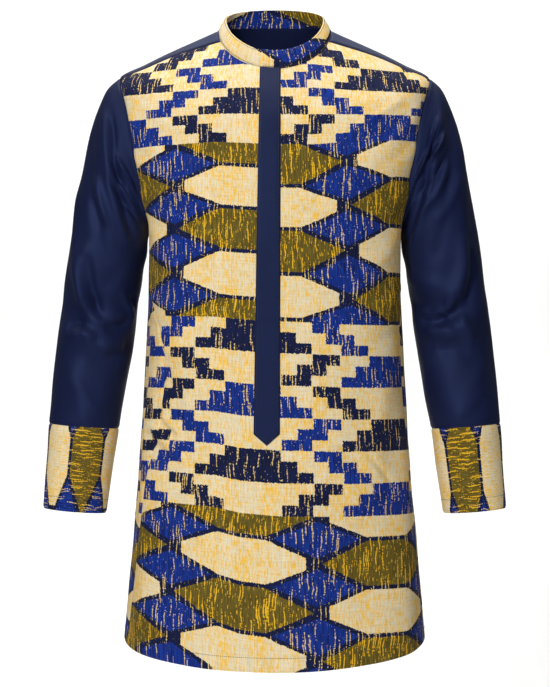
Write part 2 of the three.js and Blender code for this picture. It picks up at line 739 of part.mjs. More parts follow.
export default tunic;
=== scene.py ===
# %% [markdown]
# # A long-sleeved tunic in printed cotton and navy twill
# The garment stands in the hollow shape that it has when worn, with nobody in it. This lesson dresses a
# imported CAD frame: each plain wall of cloth is replaced by a finer one that lies on the same form, with
# the small folds, rolled seams, stitches and cloth finishes that the plain wall leaves out. The frame is
# loaded first, and its box is kept so that the dressed garment can be compared with it at the end.

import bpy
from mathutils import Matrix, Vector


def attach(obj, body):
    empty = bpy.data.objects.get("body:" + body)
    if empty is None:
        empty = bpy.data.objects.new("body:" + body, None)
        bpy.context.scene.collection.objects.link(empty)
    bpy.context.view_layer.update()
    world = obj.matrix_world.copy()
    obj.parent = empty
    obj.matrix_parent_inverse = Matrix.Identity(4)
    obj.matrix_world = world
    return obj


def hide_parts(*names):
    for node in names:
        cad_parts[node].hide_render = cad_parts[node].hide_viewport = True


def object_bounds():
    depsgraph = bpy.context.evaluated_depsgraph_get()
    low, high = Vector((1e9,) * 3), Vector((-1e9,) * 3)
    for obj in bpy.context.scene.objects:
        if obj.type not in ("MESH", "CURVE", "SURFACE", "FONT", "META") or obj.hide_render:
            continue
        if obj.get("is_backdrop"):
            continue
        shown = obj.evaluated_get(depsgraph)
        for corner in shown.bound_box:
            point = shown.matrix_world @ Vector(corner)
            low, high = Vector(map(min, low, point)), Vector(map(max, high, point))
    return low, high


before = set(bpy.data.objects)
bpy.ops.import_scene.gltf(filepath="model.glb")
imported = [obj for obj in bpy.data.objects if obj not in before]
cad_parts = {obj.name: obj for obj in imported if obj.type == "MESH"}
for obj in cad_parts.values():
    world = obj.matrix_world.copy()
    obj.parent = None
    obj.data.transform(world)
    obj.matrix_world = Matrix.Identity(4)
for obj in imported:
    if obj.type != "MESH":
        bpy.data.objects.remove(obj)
cad_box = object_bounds()
print("nodes:", sorted(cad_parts))

# %% [markdown]
# Everything below is worked out in millimetres, which is how a pattern cutter thinks, and turned to
# Blender's metres when a mesh is made. Numpy does the arithmetic for a whole grid of points at once.

# %% Tools
import math

import bpy
import numpy as np

MM = 0.001


def read_rows(text):
    """The numbers of a table. A line holds one row or several, with commas between them, or a # remark."""
    lines = [line for line in text.splitlines() if not line.startswith("#")]
    return [[float(word) for word in row.split()] for row in ",".join(lines).split(",") if row.strip()]


def new_object(name, data):
    """An object with this data, linked to the scene."""
    made = bpy.data.objects.new(name, data)
    bpy.context.scene.collection.objects.link(made)
    return made

# %% [markdown]
# ## Camera
# The camera looks straight at the front from 3.5 m, level with the middle of the garment. A long lens
# keeps the sleeves and the hem in proportion. The field of view is set by the height that the frame takes
# in at the garment.

# %% Camera
CAMERA_X, CAMERA_DISTANCE, CAMERA_HEIGHT = 0.5, 3500, -476.5
RENDER_ROWS, ROW_SIZE = 687, 1.52  # rows of the render, and millimetres to a row at the origin's distance
SENSOR = 36

camera_data = bpy.data.cameras.new("studio_camera")
camera_data.sensor_fit = "VERTICAL"
camera_data.sensor_height = SENSOR
camera_data.lens = SENSOR * CAMERA_DISTANCE / (RENDER_ROWS * ROW_SIZE)
camera = new_object("studio_camera", camera_data)
camera.location = (CAMERA_X * MM, -CAMERA_DISTANCE * MM, CAMERA_HEIGHT * MM)
camera.rotation_euler = (math.radians(90), 0, 0)
bpy.context.scene.camera = camera
print("lens", round(camera_data.lens, 1), "mm")

# %% [markdown]
# ## The form of the body
# A garment body is a stack of rings: neck, shoulders, chest, waist, hem. Each row of the table is one
# ring by its level (0 neck seam, 1 shoulder tip, 2 underarm, 4 hem), and gives the half width and height
# at the side, the depth and height at the centre front and centre back, how boxy the ring is, and how it
# comes down from a high side. The numbers are the frame's own, because the fine cloth has to lie on the
# same form.

# %% Rings of the body
BODY_RINGS = [
    [0.0, 86, -3, -58, -65, 54, 10, 2.0, 1.25],
    [0.5, 161, -35, -79, -98, 84, -60, 2.1, 1.8],
    [0.75, 197, -53, -90, -119, 95, -92, 2.2, 1.9],
    [1.0, 235, -73, -101, -142, 106, -125, 2.3, 2],
    [1.1, 239.5, -84, -106, -157, 109.5, -142, 2.3, 2],
    [1.25, 236, -116, -113, -180, 113.5, -168, 2.35, 2],
    [1.5, 229, -185, -123, -222, 118, -215, 2.4, 2],
    [1.75, 213, -245, -130, -262, 120.5, -258, 2.6, 2],
    [2.0, 190.5, -302, -134, -302, 122, -302, 2.8, 2],
    [2.25, 190.5, -380, -136, -380, 120, -380, 2.65, 2],
    [2.5, 193.8, -460, -137, -460, 117, -460, 2.5, 2],
    [3.0, 203, -620, -140, -620, 121, -620, 2.3, 2],
    [3.5, 215.5, -780, -147, -780, 133, -780, 2.2, 2],
    [4.0, 228.8, -921, -156, -955, 148, -955, 2.15, 1.15],
]
COLLAR_TOP = [74.5, 17, -50, -36, 47, 37, 2, 1.25]


def smooth_step(start, run, slope0, slope1, t):
    """The curve that leaves start, rises by run, and has these slopes at its ends."""
    return start + t * (slope0 + t * (3 * run - 2 * slope0 - slope1 + t * (slope0 + slope1 - 2 * run)))


def smooth_table(rows):
    """A function of the first column that gives the others, on a curve that never overshoots."""
    rows = np.array(rows, float)
    key, values = rows[:, 0], rows[:, 1:]
    span = np.diff(key)
    rise = np.diff(values, axis=0)
    slope = rise / span[:, None]
    tangent = np.zeros_like(values)
    tangent[0], tangent[-1] = slope[0], slope[-1]
    before, after = slope[:-1], slope[1:]
    same_way = before * after > 0
    tangent[1:-1][same_way] = (2 * before * after)[same_way] / (before + after)[same_way]

    def at(value):
        value = np.asarray(value, float)
        i = np.clip(np.searchsorted(key, value) - 1, 0, len(key) - 2)
        width = span[i][..., None]
        t = ((value - key[i]) / span[i])[..., None]
        return smooth_step(values[i], rise[i], tangent[i] * width, tangent[i + 1] * width, t)

    return at


body_ring = smooth_table(BODY_RINGS)


def ring_point(ring, angle):
    """A point of a ring. Angle 0 is the centre front, 90 the wearer's left side and 180 the centre back."""
    ring = np.moveaxis(np.asarray(ring, float), -1, 0)
    side_x, side_z, front_y, front_z, back_y, back_z, square, lift = ring
    sin, cos = np.sin(np.radians(angle)), np.cos(np.radians(angle))
    reach = (np.abs(sin) ** square + np.abs(cos) ** square) ** (-1 / square)
    depth = np.where(cos > 0, front_y, -back_y)
    tilt = (front_z - back_z) / 2
    dip = (front_z + back_z) / 2 - side_z
    z = side_z + tilt * cos + dip * np.abs(cos) ** lift
    return np.stack([side_x * sin * reach, depth * cos * reach, z], -1)


def mix(a, b, t):
    return a + (b - a) * t


print("underarm half width", body_ring(2.0)[0], "mm")

# %% [markdown]
# ## Folds
# Cloth never hangs as a perfect tube. The main folds are lines from one place to another, each with a
# height above the cloth and a half width; a trough is negative. They are placed one by one, uneven in
# length
# and spacing, where cloth really folds: dragging from the underarm, leaning on the hips, and fluting
# towards the hem. The frame already holds the large ones. The second table adds the fine ones, which only
# show when the light rakes over them.

# %% Folds of the body
MAP_SCALE = (2.9, 1)  # millimetres of cloth to a degree round the body, and to a millimetre down it
FOLD_END = 1.6  # how far a fold goes on past its ends, in half widths
CURVE_WIDTH = 1.15  # how wide a bent fold is, in the half widths of its table
MAIN_BODY_FOLDS = read_rows("""
# angle, height, angle, height, fold height, half width
-58 -150 -34 -235 3 15, -64 -235 -30 -300 -3 18, -66 -300 -40 -380 3.2 17, 58 -135 36 -215 3.4 15
64 -225 34 -285 -3 17, 68 -300 42 -370 3.2 16, -52 -520 -36 -640 -3 20, -66 -600 -58 -900 4.2 26
-42 -690 -37 -960 -3.4 24, 50 -560 40 -700 3 20, 66 -620 58 -920 4.2 26, 38 -700 33 -960 -3.2 24
10 -700 8 -960 3 34, 118 -190 150 -290 4 18, -118 -190 -150 -290 4 18, 116 -330 148 -420 -4 20
-116 -330 -146 -430 -4 20, 132 -480 128 -940 5 26, -132 -470 -127 -940 5 26, 158 -520 155 -950 -4.5 26
-160 -540 -156 -950 -4.5 26, 180 -560 180 -950 4.5 30, -104 -560 -100 -930 -4 24
104 -560 100 -930 -4 24
""")
FINE_BODY_FOLDS = read_rows("""
# waist, at the side seams and the pocket slit
-53.4 -482 -53.4 -524 -2.4 3.5, -52.5 -595 -46 -611 -2.4 5, -51 -587 -44 -603 2 5
-61 -616 -45 -650 -2.8 6, -58 -604 -43 -639 2.2 6, 42 -648 52 -677 -2 5
# chest, dragging from the armholes
47 -118 33 -150 1.3 6, 52 -140 38 -168 -1.2 6, 50 -160 30 -205 1 8, -50 -128 -36 -158 1.2 6
-54 -150 -34 -188 -1 8, 60 -190 44 -222 1.2 7, -62 -196 -47 -224 1.2 7
# under the collar, where the neck seam draws the cloth in
-28 -84 -34 -104 0.8 5, -45 -64 -50 -88 -0.8 6, 22 -84 27 -106 0.9 5, 40 -68 43 -96 -0.8 6
54 -52 56 -82 0.8 6
# waist and hip
-70 -400 -44 -428 1.6 9, -74 -440 -52 -455 -1.5 8, 72 -395 48 -425 1.6 9, 76 -452 50 -470 -1.4 9
-50 -486 -38 -500 1.5 8, -56 -520 -41 -545 -1.4 8, -60 -560 -46 -566 1.3 8, 30 -640 42 -676 -1.5 9
24 -652 34 -700 1.2 9, -12 -660 -20 -800 1 22, 20 -760 24 -900 -1.2 20
# back
150 -120 166 -190 1.4 10, -148 -124 -168 -200 1.4 10, 108 -250 136 -300 1.8 9, -108 -244 -138 -296 1.8 9
112 -420 140 -448 -1.6 10, -110 -414 -138 -452 1.6 10, 170 -330 -172 -348 1.2 12
172 -430 -168 -444 -1.2 12, 144 -640 141 -920 1.6 14, -146 -660 -142 -930 1.6 14
""")

# %% [markdown]
# A fold's height falls off to both sides as a bell curve, and past its ends. Folds that bend run through
# several points. On top of both comes a gentle unevenness, a sum of long waves in random directions.

# %% Height of folds


def short_way(angle):
    return angle - 360 * np.round(angle / 360)


def fold_sum(folds, across, along, scale):
    """Height of all folds at places given by across, in degrees, and along, in the tables' units."""
    height = np.zeros(np.broadcast(across, along).shape)
    for across0, along0, across1, along1, rise, width in folds:
        away, down = short_way(across - across0) * scale[0], (along - along0) * scale[1]
        run_across, run_along = short_way(across1 - across0) * scale[0], (along1 - along0) * scale[1]
        length = math.hypot(run_across, run_along)
        share = (away * run_across + down * run_along) / length**2
        beyond = np.maximum(0, np.maximum(-share, share - 1)) * length
        side = (away * run_along - down * run_across) / length
        height += rise * np.exp(-((side / width) ** 2) - (beyond / (FOLD_END * width)) ** 2)
    return height


def curve_sum(curves, across, along, scale):
    """Height of folds that bend. Each runs through its points and dies away at its ends and sides."""
    shape = np.broadcast(across, along).shape
    height = np.zeros(shape)
    for rise, width, *points in curves:
        places = np.reshape(points, (-1, 2)) * scale
        run = np.concatenate([[0], np.cumsum(np.linalg.norm(np.diff(places, axis=0), axis=-1))])
        away, reached = np.full(shape, np.inf), np.zeros(shape)
        for k, (start, end) in enumerate(zip(places, places[1:])):
            step = end - start
            x, y = across * scale[0] - start[0], along * scale[1] - start[1]
            share = np.clip((x * step[0] + y * step[1]) / (step @ step), 0, 1)
            here = np.hypot(x - share * step[0], y - share * step[1])
            reached = np.where(here < away, mix(run[k], run[k + 1], share), reached)
            away = np.minimum(away, here)
        taper = 1 - np.abs(2 * reached / run[-1] - 1) ** 3
        height += rise * taper * np.exp(-((away / (CURVE_WIDTH * width)) ** 2))
    return height


def ripples(seed, count, around, along_from, along_to):
    """Gentle unevenness: waves with whole turns round the garment and wavelengths in millimetres along."""
    draw = np.random.default_rng(seed)
    waves = []
    for _ in range(count):
        turns = draw.integers(*around) * draw.choice([-1, 1])
        pace = 2 * math.pi / draw.uniform(along_from, along_to)
        waves.append((turns, pace, draw.uniform(0, 2 * math.pi)))
    return waves


def ripple_height(waves, angle, along):
    total = sum(np.sin(np.radians(angle) * turns + along * pace + start) for turns, pace, start in waves)
    return total / math.sqrt(len(waves))


BODY_RIPPLES = ripples(5, 14, (2, 11), 90, 420)
RIPPLE_HEIGHT = 0.6
FINE_DEPTH, CURVE_DEPTH = 1.5, 2.6  # the fine tables' heights are multiplied by these

# %% [markdown]
# A point of the cloth is a point of the form moved out along the form's normal by the height of the folds
# there. The normal comes from two short steps along the surface, which works for any surface given as a
# function.

# %% Points of the body
ANGLE_STEP, LEVEL_STEP, HOOP_STEP = 0.5, 0.005, 0.01  # the short steps, round and along
CALM_NECK = 0.6  # the cloth is calm above this level, because the collar holds the neck seam


def normal_of(surface, a, b, step_a, step_b):
    along_a = surface(a + step_a, b) - surface(a - step_a, b)
    along_b = surface(a, b + step_b) - surface(a, b - step_b)
    normal = np.cross(along_b, along_a)
    return normal / np.linalg.norm(normal, axis=-1, keepdims=True)


def plain_body(angle, level):
    return ring_point(body_ring(level), angle)


def body_point(angle, level):
    angle, level = np.broadcast_arrays(np.asarray(angle, float), np.asarray(level, float))
    point = plain_body(angle, level)
    z = point[..., 2]
    height = fold_sum(MAIN_BODY_FOLDS, angle, z, MAP_SCALE)
    height += FINE_DEPTH * fold_sum(FINE_BODY_FOLDS, angle, z, MAP_SCALE)
    height += RIPPLE_HEIGHT * np.clip(level / CALM_NECK, 0, 1) * ripple_height(BODY_RIPPLES, angle, z)
    return point + normal_of(plain_body, angle, level, ANGLE_STEP, LEVEL_STEP) * height[..., None]


def body_normal(angle, level):
    return normal_of(body_point, np.asarray(angle, float), np.asarray(level, float), ANGLE_STEP, LEVEL_STEP)


print("centre front at the hem", np.round(body_point(0, 4.0), 1))

# %% [markdown]
# ## Seams
# The panels of a garment are areas of one surface, so their edges have to be the same lines. The armhole
# is an oval on the body, with its own turn: 0 at the shoulder tip, 90 in front, 180 underneath. The side
# seams swing forward at the hip, because the pocket openings pull on them there, and more on the wearer's
# right.

# %% Seam lines
ARM_FRONT, ARM_BACK = 29, 27  # degrees that the armhole reaches in front of the side and behind it
YOKE_FRONT, YOKE_BACK = 24, -48  # armhole turns where the yoke seams end
YOKE_NECK = 73  # body angle of the front yoke seam at the neck
YOKE_CENTRE = 0.78  # level of the back yoke seam at the centre back
# level, and degrees that the left and the right side seam swing forward there
SIDE_SEAMS = smooth_table(
    [[2, 0, 0], [2.3, 9, 20], [2.6, 19, 37], [2.85, 18, 37], [3.2, 11, 27], [4, 7, 14]])


def armhole(turn):
    sin, cos = np.sin(np.radians(turn)), np.cos(np.radians(turn))
    return 90 - np.where(sin > 0, ARM_FRONT, ARM_BACK) * sin, 1.5 - 0.5 * cos


def side_seam(level, side):
    """Body angle of a side seam. side is 1 on the wearer's left and -1 on the right, here and below."""
    return 90 - SIDE_SEAMS(level)[..., 0 if side > 0 else 1]


CORNER_ANGLE, CORNER_LEVEL = (float(v) for v in armhole(YOKE_FRONT))
BACK_CORNER_ANGLE, BACK_CORNER_LEVEL = (float(v) for v in armhole(YOKE_BACK))


def across_panel(edge, centre, share):
    """Level of a place between a panel's edge, share 0, and its centre line, share 1."""
    return mix(edge, centre, np.sin(share * math.pi / 2))


print("yoke corner at body angle", round(CORNER_ANGLE, 1))

# %% [markdown]
# ## Sleeves
# A sleeve is a curve of hoops from the armhole to the cuff. Each hoop is given by its outer and inner
# points, how far forward its middle is, and its half depth. Sleeve cloth folds where the arm bends:
# diagonals fall from the sleeve head towards the underarm, and the elbow has short deep folds across.
# Left and right are never the same.

# %% Hoops and folds of the sleeves
SLEEVE_HOOPS = [
    # outer x, outer z, inner x, inner z, middle y, half depth
    [258, -98, 191.2, -308, -1, 59],
    [279, -155, 192.2, -321, 0, 64],
    [297.2, -243, 194.6, -341, 3, 68],
    [313.5, -342, 200, -368, 6, 67],
    [322.5, -408, 207.5, -420, 9, 64],
    [332.2, -482, 217, -490, 8, 60],
    [338.2, -543, 227, -551, 0, 57],
    [341.5, -597, 236.5, -605, -10, 53],
    [344.8, -660, 244.8, -668, -22, 48.5],
    [348.4, -723, 253.3, -731, -34, 44.5],
]
CUFF_HOOP, HEM_HOOP = 8, 10
SLEEVE_SCALE = (1.1, 66)  # millimetres to a degree of turn, and from hoop to hoop
HEM_FADE, SEAM_FADE, FINE_FADE = 1.5, 0.8, 0.3  # hoops in which folds die away at the hem and the armhole
FIRST_HOOP = 0.02  # normals are taken at least this far from the armhole
# turn, hoop, turn, hoop, fold height, half width
MAIN_SLEEVE_FOLDS = {
    "left": read_rows("""
58 1.2 128 2.7 4.2 11, 76 1 142 2.3 -3.6 10, 34 1.6 98 3.6 -3.8 13, 30 2.4 74 4.4 3.8 14
150 4.3 92 4.7 4.2 16, 156 5 84 5.3 -5 15, 40 5.2 96 5.7 4 16, 146 5.9 78 6.1 -3.8 16
60 6.6 100 7.6 3.2 16, 222 4.4 290 5 4 16, 214 5.2 282 5.5 -4.4 16, 318 1.8 250 3.4 4 14
300 2.8 236 4.2 -3.6 13, 250 6.2 300 7.4 -3.2 15
"""),
    "right": read_rows("""
62 1.1 120 2.6 -3.8 10, 46 1.4 112 3 4.2 12, 32 2.2 92 3.9 -3.6 13, 20 3.2 62 4.9 4.2 13
150 4.9 88 5.1 -5 15, 112 4.2 76 5.3 -3.6 14, 30 5.2 76 5.4 -3.4 15, 50 5.7 104 5.9 4.6 15
150 5.9 108 6.2 -3.4 15, 70 6.8 96 7.7 3 16, 226 4.5 286 4.9 4 16, 216 5.1 288 5.6 -4.4 16
314 1.7 246 3.2 4 14, 296 2.9 238 4.4 -3.6 13, 262 6.4 296 7.5 -3 15
"""),
}
FINE_SLEEVE_FOLDS = {
    "left": read_rows("""
224 4.9 270 5.1 2.2 7, 222 5.6 276 5.9 2 7, 300 1 240 2.4 1.8 7, 286 0.7 232 1.8 -1.8 6
60 7.1 92 7.6 1.2 8
"""),
    "right": read_rows("""
230 4.8 274 5.2 2.2 7, 220 5.7 280 5.8 2 7, 304 1.1 244 2.2 1.8 7, 290 0.8 230 1.6 -1.8 6
84 7 110 7.5 1.2 8
"""),
}
# fold height, half width, then turn and hoop of each point that the fold runs through
CURVED_SLEEVE_FOLDS = {
    "left": read_rows("""
2.6 5 53 0.94 68 1.02 86 1.02 102 0.58, -2.2 5 56 1.26 70 1.38 93 1.06, 3.2 5.5 49 1.58 84 1.38 111 0.40
-2 6 50 2.02 81 1.98 120 1.18, 2.2 8 56 2.18 91 2.38 120 2.22, 2 9 41 2.58 74 2.90 96 3.02
2.8 9 62 3.50 64 4.10 78 4.70 101 5.08, -2.4 8 46 3.80 48 4.42 66 5.02 84 5.24
3 6 83 4.86 100 5.14 127 5.26 146 5.10, -3 6 146 5.30 115 5.38 89 5.26 76 5.10
2.4 7 77 5.22 77 5.50 60 5.78, 2 8 140 5.58 105 5.58 88 5.70, -2 8 124 5.98 93 5.86 71 5.94
"""),
    "right": read_rows("""
3 5 73 1.42 90 1.42 108 0.98 121 0.54, -2.4 5.5 72 1.74 87 1.78 107 1.54, 2.2 8 53 2.46 69 2.82 89 3.18
-1.8 8 51 2.90 68 3.14 84 3.30, -2.2 8 76 2.22 103 2.14 131 1.82
3 8 46 3.74 55 4.38 66 4.94 79 5.32 102 5.50, -3 7 62 3.86 67 4.22 80 4.80 96 5.22 112 5.36
2 7 60 3.66 61 4.06 73 4.66, 2 6 124 4.66 150 5.06 159 5.38, -3.2 6 104 5.50 123 5.50 150 5.38
3 7 53 5.70 72 5.62 94 5.78, -2.2 6 42 5.54 62 5.50 76 5.54, 2 8 100 5.98 116 5.86 146 5.86
"""),
}
SLEEVE_RIPPLES = {"left": ripples(11, 10, (1, 6), 80, 260), "right": ripples(12, 10, (1, 6), 80, 260)}

# %% [markdown]
# The first hoop is the armhole, taken from the body's own surface, so that the sleeve starts exactly
# there. The folds fade out towards the cuff's edge, and the largest ones also towards the armhole.

# %% Points of the sleeves


def side_name(side):
    return "left" if side > 0 else "right"


def plain_sleeve(turn, hoop, side):
    """A point of the sleeve without folds, on a smooth curve through the hoops."""
    turn, hoop = np.broadcast_arrays(np.asarray(turn, float), np.asarray(hoop, float))
    sin, cos = np.sin(np.radians(turn)), np.cos(np.radians(turn))
    seam_angle, seam_level = armhole(turn)
    hoops = [body_point(side * seam_angle, seam_level)]
    for outer_x, outer_z, inner_x, inner_z, middle_y, depth in SLEEVE_HOOPS:
        outwards = (1 + cos) / 2
        x, z = mix(inner_x, outer_x, outwards), mix(inner_z, outer_z, outwards)
        hoops.append(np.stack([side * x, middle_y - depth * sin, z], -1))
    hoops = np.array(hoops)
    i = np.clip(np.floor(hoop).astype(int), 0, HEM_HOOP - 1)

    def pick(k):
        return np.take_along_axis(hoops, np.clip(k, 0, HEM_HOOP)[None, ..., None], 0)[0]

    before, start, end, after = pick(i - 1), pick(i), pick(i + 1), pick(i + 2)
    slope0 = (end - before) / np.where(i > 0, 2, 1)[..., None]
    slope1 = (after - start) / np.where(i + 2 <= HEM_HOOP, 2, 1)[..., None]
    return smooth_step(start, end - start, slope0, slope1, (hoop - i)[..., None])


def sleeve_normal_of(surface, turn, hoop, side):
    """Turns run against the body's angles on the left sleeve, and the right sleeve is its mirror image."""
    hoop = np.maximum(hoop, FIRST_HOOP)
    return normal_of(lambda a, b: surface(a, b, side), turn, hoop, -ANGLE_STEP * side, HOOP_STEP)


def sleeve_point(turn, hoop, side):
    turn, hoop = np.broadcast_arrays(np.asarray(turn, float), np.asarray(hoop, float))
    name = side_name(side)
    main = fold_sum(MAIN_SLEEVE_FOLDS[name], turn, hoop, SLEEVE_SCALE) * np.clip(hoop / SEAM_FADE, 0, 1)
    fine = fold_sum(FINE_SLEEVE_FOLDS[name], turn, hoop, SLEEVE_SCALE)
    fine += curve_sum(CURVED_SLEEVE_FOLDS[name], turn, hoop, SLEEVE_SCALE) * CURVE_DEPTH
    fine += RIPPLE_HEIGHT * ripple_height(SLEEVE_RIPPLES[name], turn, hoop * SLEEVE_SCALE[1])
    height = main + fine * np.clip(hoop / FINE_FADE, 0, 1)
    height = height * np.clip((HEM_HOOP - hoop) / HEM_FADE, 0, 1)
    normal = sleeve_normal_of(plain_sleeve, turn, hoop, side)
    return plain_sleeve(turn, hoop, side) + normal * height[..., None]


def sleeve_normal(turn, hoop, side):
    return sleeve_normal_of(sleeve_point, turn, np.asarray(hoop, float), side)


print("left cuff edge, outer point", np.round(sleeve_point(0, HEM_HOOP, 1), 1))

# %% [markdown]
# ## Cloth as a closed wall
# A real panel has two faces and an edge all round, so each piece here is a grid of outer points, the same
# grid moved inwards by the cloth's thickness, and strips that close it along every edge. Edges roll
# inwards a little, as cloth does at a seam, which gives each seam its fine valley. Every point carries
# its place on the flat cloth as an attribute, in millimetres, and whether it is on the right side of the
# cloth; the finishes read both.

# %% Build a piece of cloth
CLOTH = 1.7  # thickness of one wall
COLLAR_CLOTH, COLLAR_BULGE = 2.4, 1.2
ROLL_DEPTH, ROLL_WIDTH, LINING_ROLL = 1.25, 2.2, 0.25  # how an edge rolls in, the last a share of the first
EXTRA_ROWS = np.array([0.7, 1.6, 3.0])  # millimetres from an edge
SHARP_ANGLE = 55  # degrees at which two faces meet in a sharp edge
MITRE_LIMIT = 0.6  # keeps the way through a sharp mitre short
ALL_EDGES = ("first", "last", "top", "bottom")


def distance_from(points, axis, reverse=False):
    """Millimetres along a grid from its first row or column, or from its last."""
    points = np.flip(points, axis) if reverse else points
    length = np.cumsum(np.linalg.norm(np.diff(points, axis=axis), axis=-1), axis=axis)
    length = np.concatenate([np.zeros_like(np.take(length, [0], axis)), length], axis)
    return np.flip(length, axis) if reverse else length


def edge_roll(points, edges):
    """Share by which each point rolls in: 1 on the named edges, falling to 0 inside the piece."""
    sides = {"top": (0, False), "bottom": (0, True), "first": (1, False), "last": (1, True)}
    share = np.zeros(points.shape[:2])
    for edge in edges:
        share = np.maximum(share, np.exp(-((distance_from(points, *sides[edge]) / ROLL_WIDTH) ** 2)))
    return share[..., None]


def mesh_from(name, vertices, faces, attributes, finish):
    """A smooth-shaded mesh object in metres, riding on the garment, with one finish."""
    mesh = bpy.data.meshes.new(name)
    mesh.from_pydata((vertices * MM).tolist(), [], faces.tolist())
    for attribute, values in attributes.items():
        layer = mesh.attributes.new(attribute, "FLOAT_VECTOR", "POINT")
        layer.data.foreach_set("vector", np.ascontiguousarray(values, np.float32).ravel())
    mesh.shade_smooth()
    mesh.set_sharp_from_angle(angle=math.radians(SHARP_ANGLE))
    mesh.materials.append(finish)
    piece = new_object(name, mesh)
    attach(piece, "root")
    return piece

# %% [markdown]
# One function makes every panel. It closes the wall only round the cells that are kept, so the same grid
# can have a window in it, and a round piece joins its last column to its first.

# %% Wall of cloth


def cloth_piece(name, node, outer, through, cloth_map, finish, slot, round_piece=False, kept=None,
                edges=ALL_EDGES, lining_map=None):
    """Closed wall of cloth. through leads from the outer face to the inner one; kept cells are cloth."""
    roll = edge_roll(outer, edges) * ROLL_DEPTH
    inwards = through / np.linalg.norm(through, axis=-1, keepdims=True)
    face, lining = outer + inwards * roll, outer + through - inwards * roll * LINING_ROLL
    rows, columns = outer.shape[:2]
    count = rows * columns
    cells = columns if round_piece else columns - 1
    kept = np.ones((rows - 1, cells), bool) if kept is None else kept
    row, column = np.nonzero(kept)

    def index(r, c):
        return r * columns + c % columns

    a, b = index(row, column), index(row + 1, column)
    c, d = index(row + 1, column + 1), index(row, column + 1)
    around = np.pad(kept, 1, mode="wrap" if round_piece else "constant")
    if round_piece:
        around[0], around[-1] = False, False

    def empty(down, across):
        return ~around[row + 1 + down, column + 1 + across]

    strips = [
        np.stack([a, b, c, d], -1),
        np.stack([d, c, b, a], -1) + count,
        np.stack([a, a + count, b + count, b], -1)[empty(0, -1)],
        np.stack([b, b + count, c + count, c], -1)[empty(1, 0)],
        np.stack([d, c, c + count, d + count], -1)[empty(0, 1)],
        np.stack([a, d, d + count, a + count], -1)[empty(-1, 0)],
    ]
    faces = np.concatenate(strips)
    vertices = np.concatenate([face.reshape(-1, 3), lining.reshape(-1, 3)])
    maps = [cloth_map, cloth_map if lining_map is None else lining_map]
    right_side = np.repeat([1.0, 0.0 if lining_map is None else 1.0], count)[:, None]
    attribute = np.concatenate([np.concatenate([grid.reshape(-1, 2) for grid in maps]), right_side], -1)
    used, faces = np.unique(faces, return_inverse=True)
    faces = faces.reshape(-1, 4)
    vertices, attribute = vertices[used], attribute[used]
    corners = vertices[faces[: len(row)]]
    facing = np.cross(corners[:, 1] - corners[:, 0], corners[:, 3] - corners[:, 0])
    if (facing * inwards.reshape(-1, 3)[a]).sum() > 0:
        faces = faces[:, ::-1]
    piece = mesh_from(name, vertices, faces, {"cloth": attribute}, finish)
    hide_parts(node)
    print(name, len(faces), "faces")
    return piece


def close_to_edges(count, length, both=True):
    """Shares from 0 to 1, with extra ones near the ends so that a rolled edge is drawn finely."""
    extra = EXTRA_ROWS / length
    parts = [np.linspace(0, 1, count), extra] + ([1 - extra] if both else [])
    return np.unique(np.concatenate(parts))

# %% [markdown]
# The sleeves and the collar leave the body at an angle. There both walls are cut on the plane that halves
# the angle, so that they meet without a gap. The collar's form is needed for its own seam, so it is given
# here too.

# %% Mitres


def mitre(normal_a, normal_b, thickness):
    """The way through both walls from a seam between two surfaces, on the line that halves their angle."""
    middle = normal_a + normal_b
    middle /= np.linalg.norm(middle, axis=-1, keepdims=True)
    return middle * thickness / np.maximum(MITRE_LIMIT, (middle * normal_a).sum(-1, keepdims=True))


def arm_mitre(turn, side, thickness=CLOTH):
    angle, level = armhole(turn)
    return mitre(body_normal(side * angle, level), sleeve_normal(turn, 0 * turn, side), thickness)


def collar_shape(angle, share):
    low = body_point(angle, 0.0 * angle)
    high = ring_point(np.broadcast_to(COLLAR_TOP, low.shape[:-1] + (8,)), angle)
    out = low * [1, 1, 0]
    out /= np.linalg.norm(out, axis=-1, keepdims=True)
    return mix(low, high, share[..., None]) + out * (COLLAR_BULGE * np.sin(math.pi * share))[..., None]


def collar_normal(angle, share):
    angle, share = np.broadcast_arrays(np.asarray(angle, float), np.asarray(share, float))
    return normal_of(lambda a, s: collar_shape(a, -s), angle, -share, ANGLE_STEP, HOOP_STEP)


def neck_mitre(angle, thickness=CLOTH):
    return mitre(body_normal(angle, 0 * angle), collar_normal(angle, 0), thickness)

# %% [markdown]
# ## Finishes: adding nodes
# A procedural finish is a small network of nodes. One function adds a node, gives it its settings, and
# links or fills its inputs, so that a finish reads as a list of what is mixed with what. Colours are
# written as sRGB hex values, the way a dyer's card gives them, and one function turns them into the
# linear values that Blender wants.

# %% Node and colour helpers


def linear(code):
    """An sRGB hex colour as linear red, green, blue and alpha."""
    parts = [int(code[k : k + 2], 16) / 255 for k in (1, 3, 5)]
    return [p / 12.92 if p <= 0.04045 else ((p + 0.055) / 1.055) ** 2.4 for p in parts] + [1.0]


def add(tree, kind, settings=None, inputs=None, output=0):
    """A new node with its settings, and with its inputs linked or filled in. Returns one of its outputs."""
    node = tree.nodes.new("ShaderNode" + kind)
    for name, value in (settings or {}).items():
        setattr(node, name, value)
    for socket, value in (inputs or {}).items():
        if isinstance(value, bpy.types.NodeSocket):
            tree.links.new(value, node.inputs[socket])
        else:
            node.inputs[socket].default_value = value
    return node.outputs[output] if node.outputs else None


OPERATIONS = {
    "+": "ADD", "-": "SUBTRACT", "*": "MULTIPLY", "/": "DIVIDE", "*+": "MULTIPLY_ADD",
    "%": "FLOORED_MODULO", "<": "LESS_THAN", ">": "GREATER_THAN", "max": "MAXIMUM", "near": "COMPARE",
    "abs": "ABSOLUTE", "floor": "FLOOR", "sine": "SINE",
}


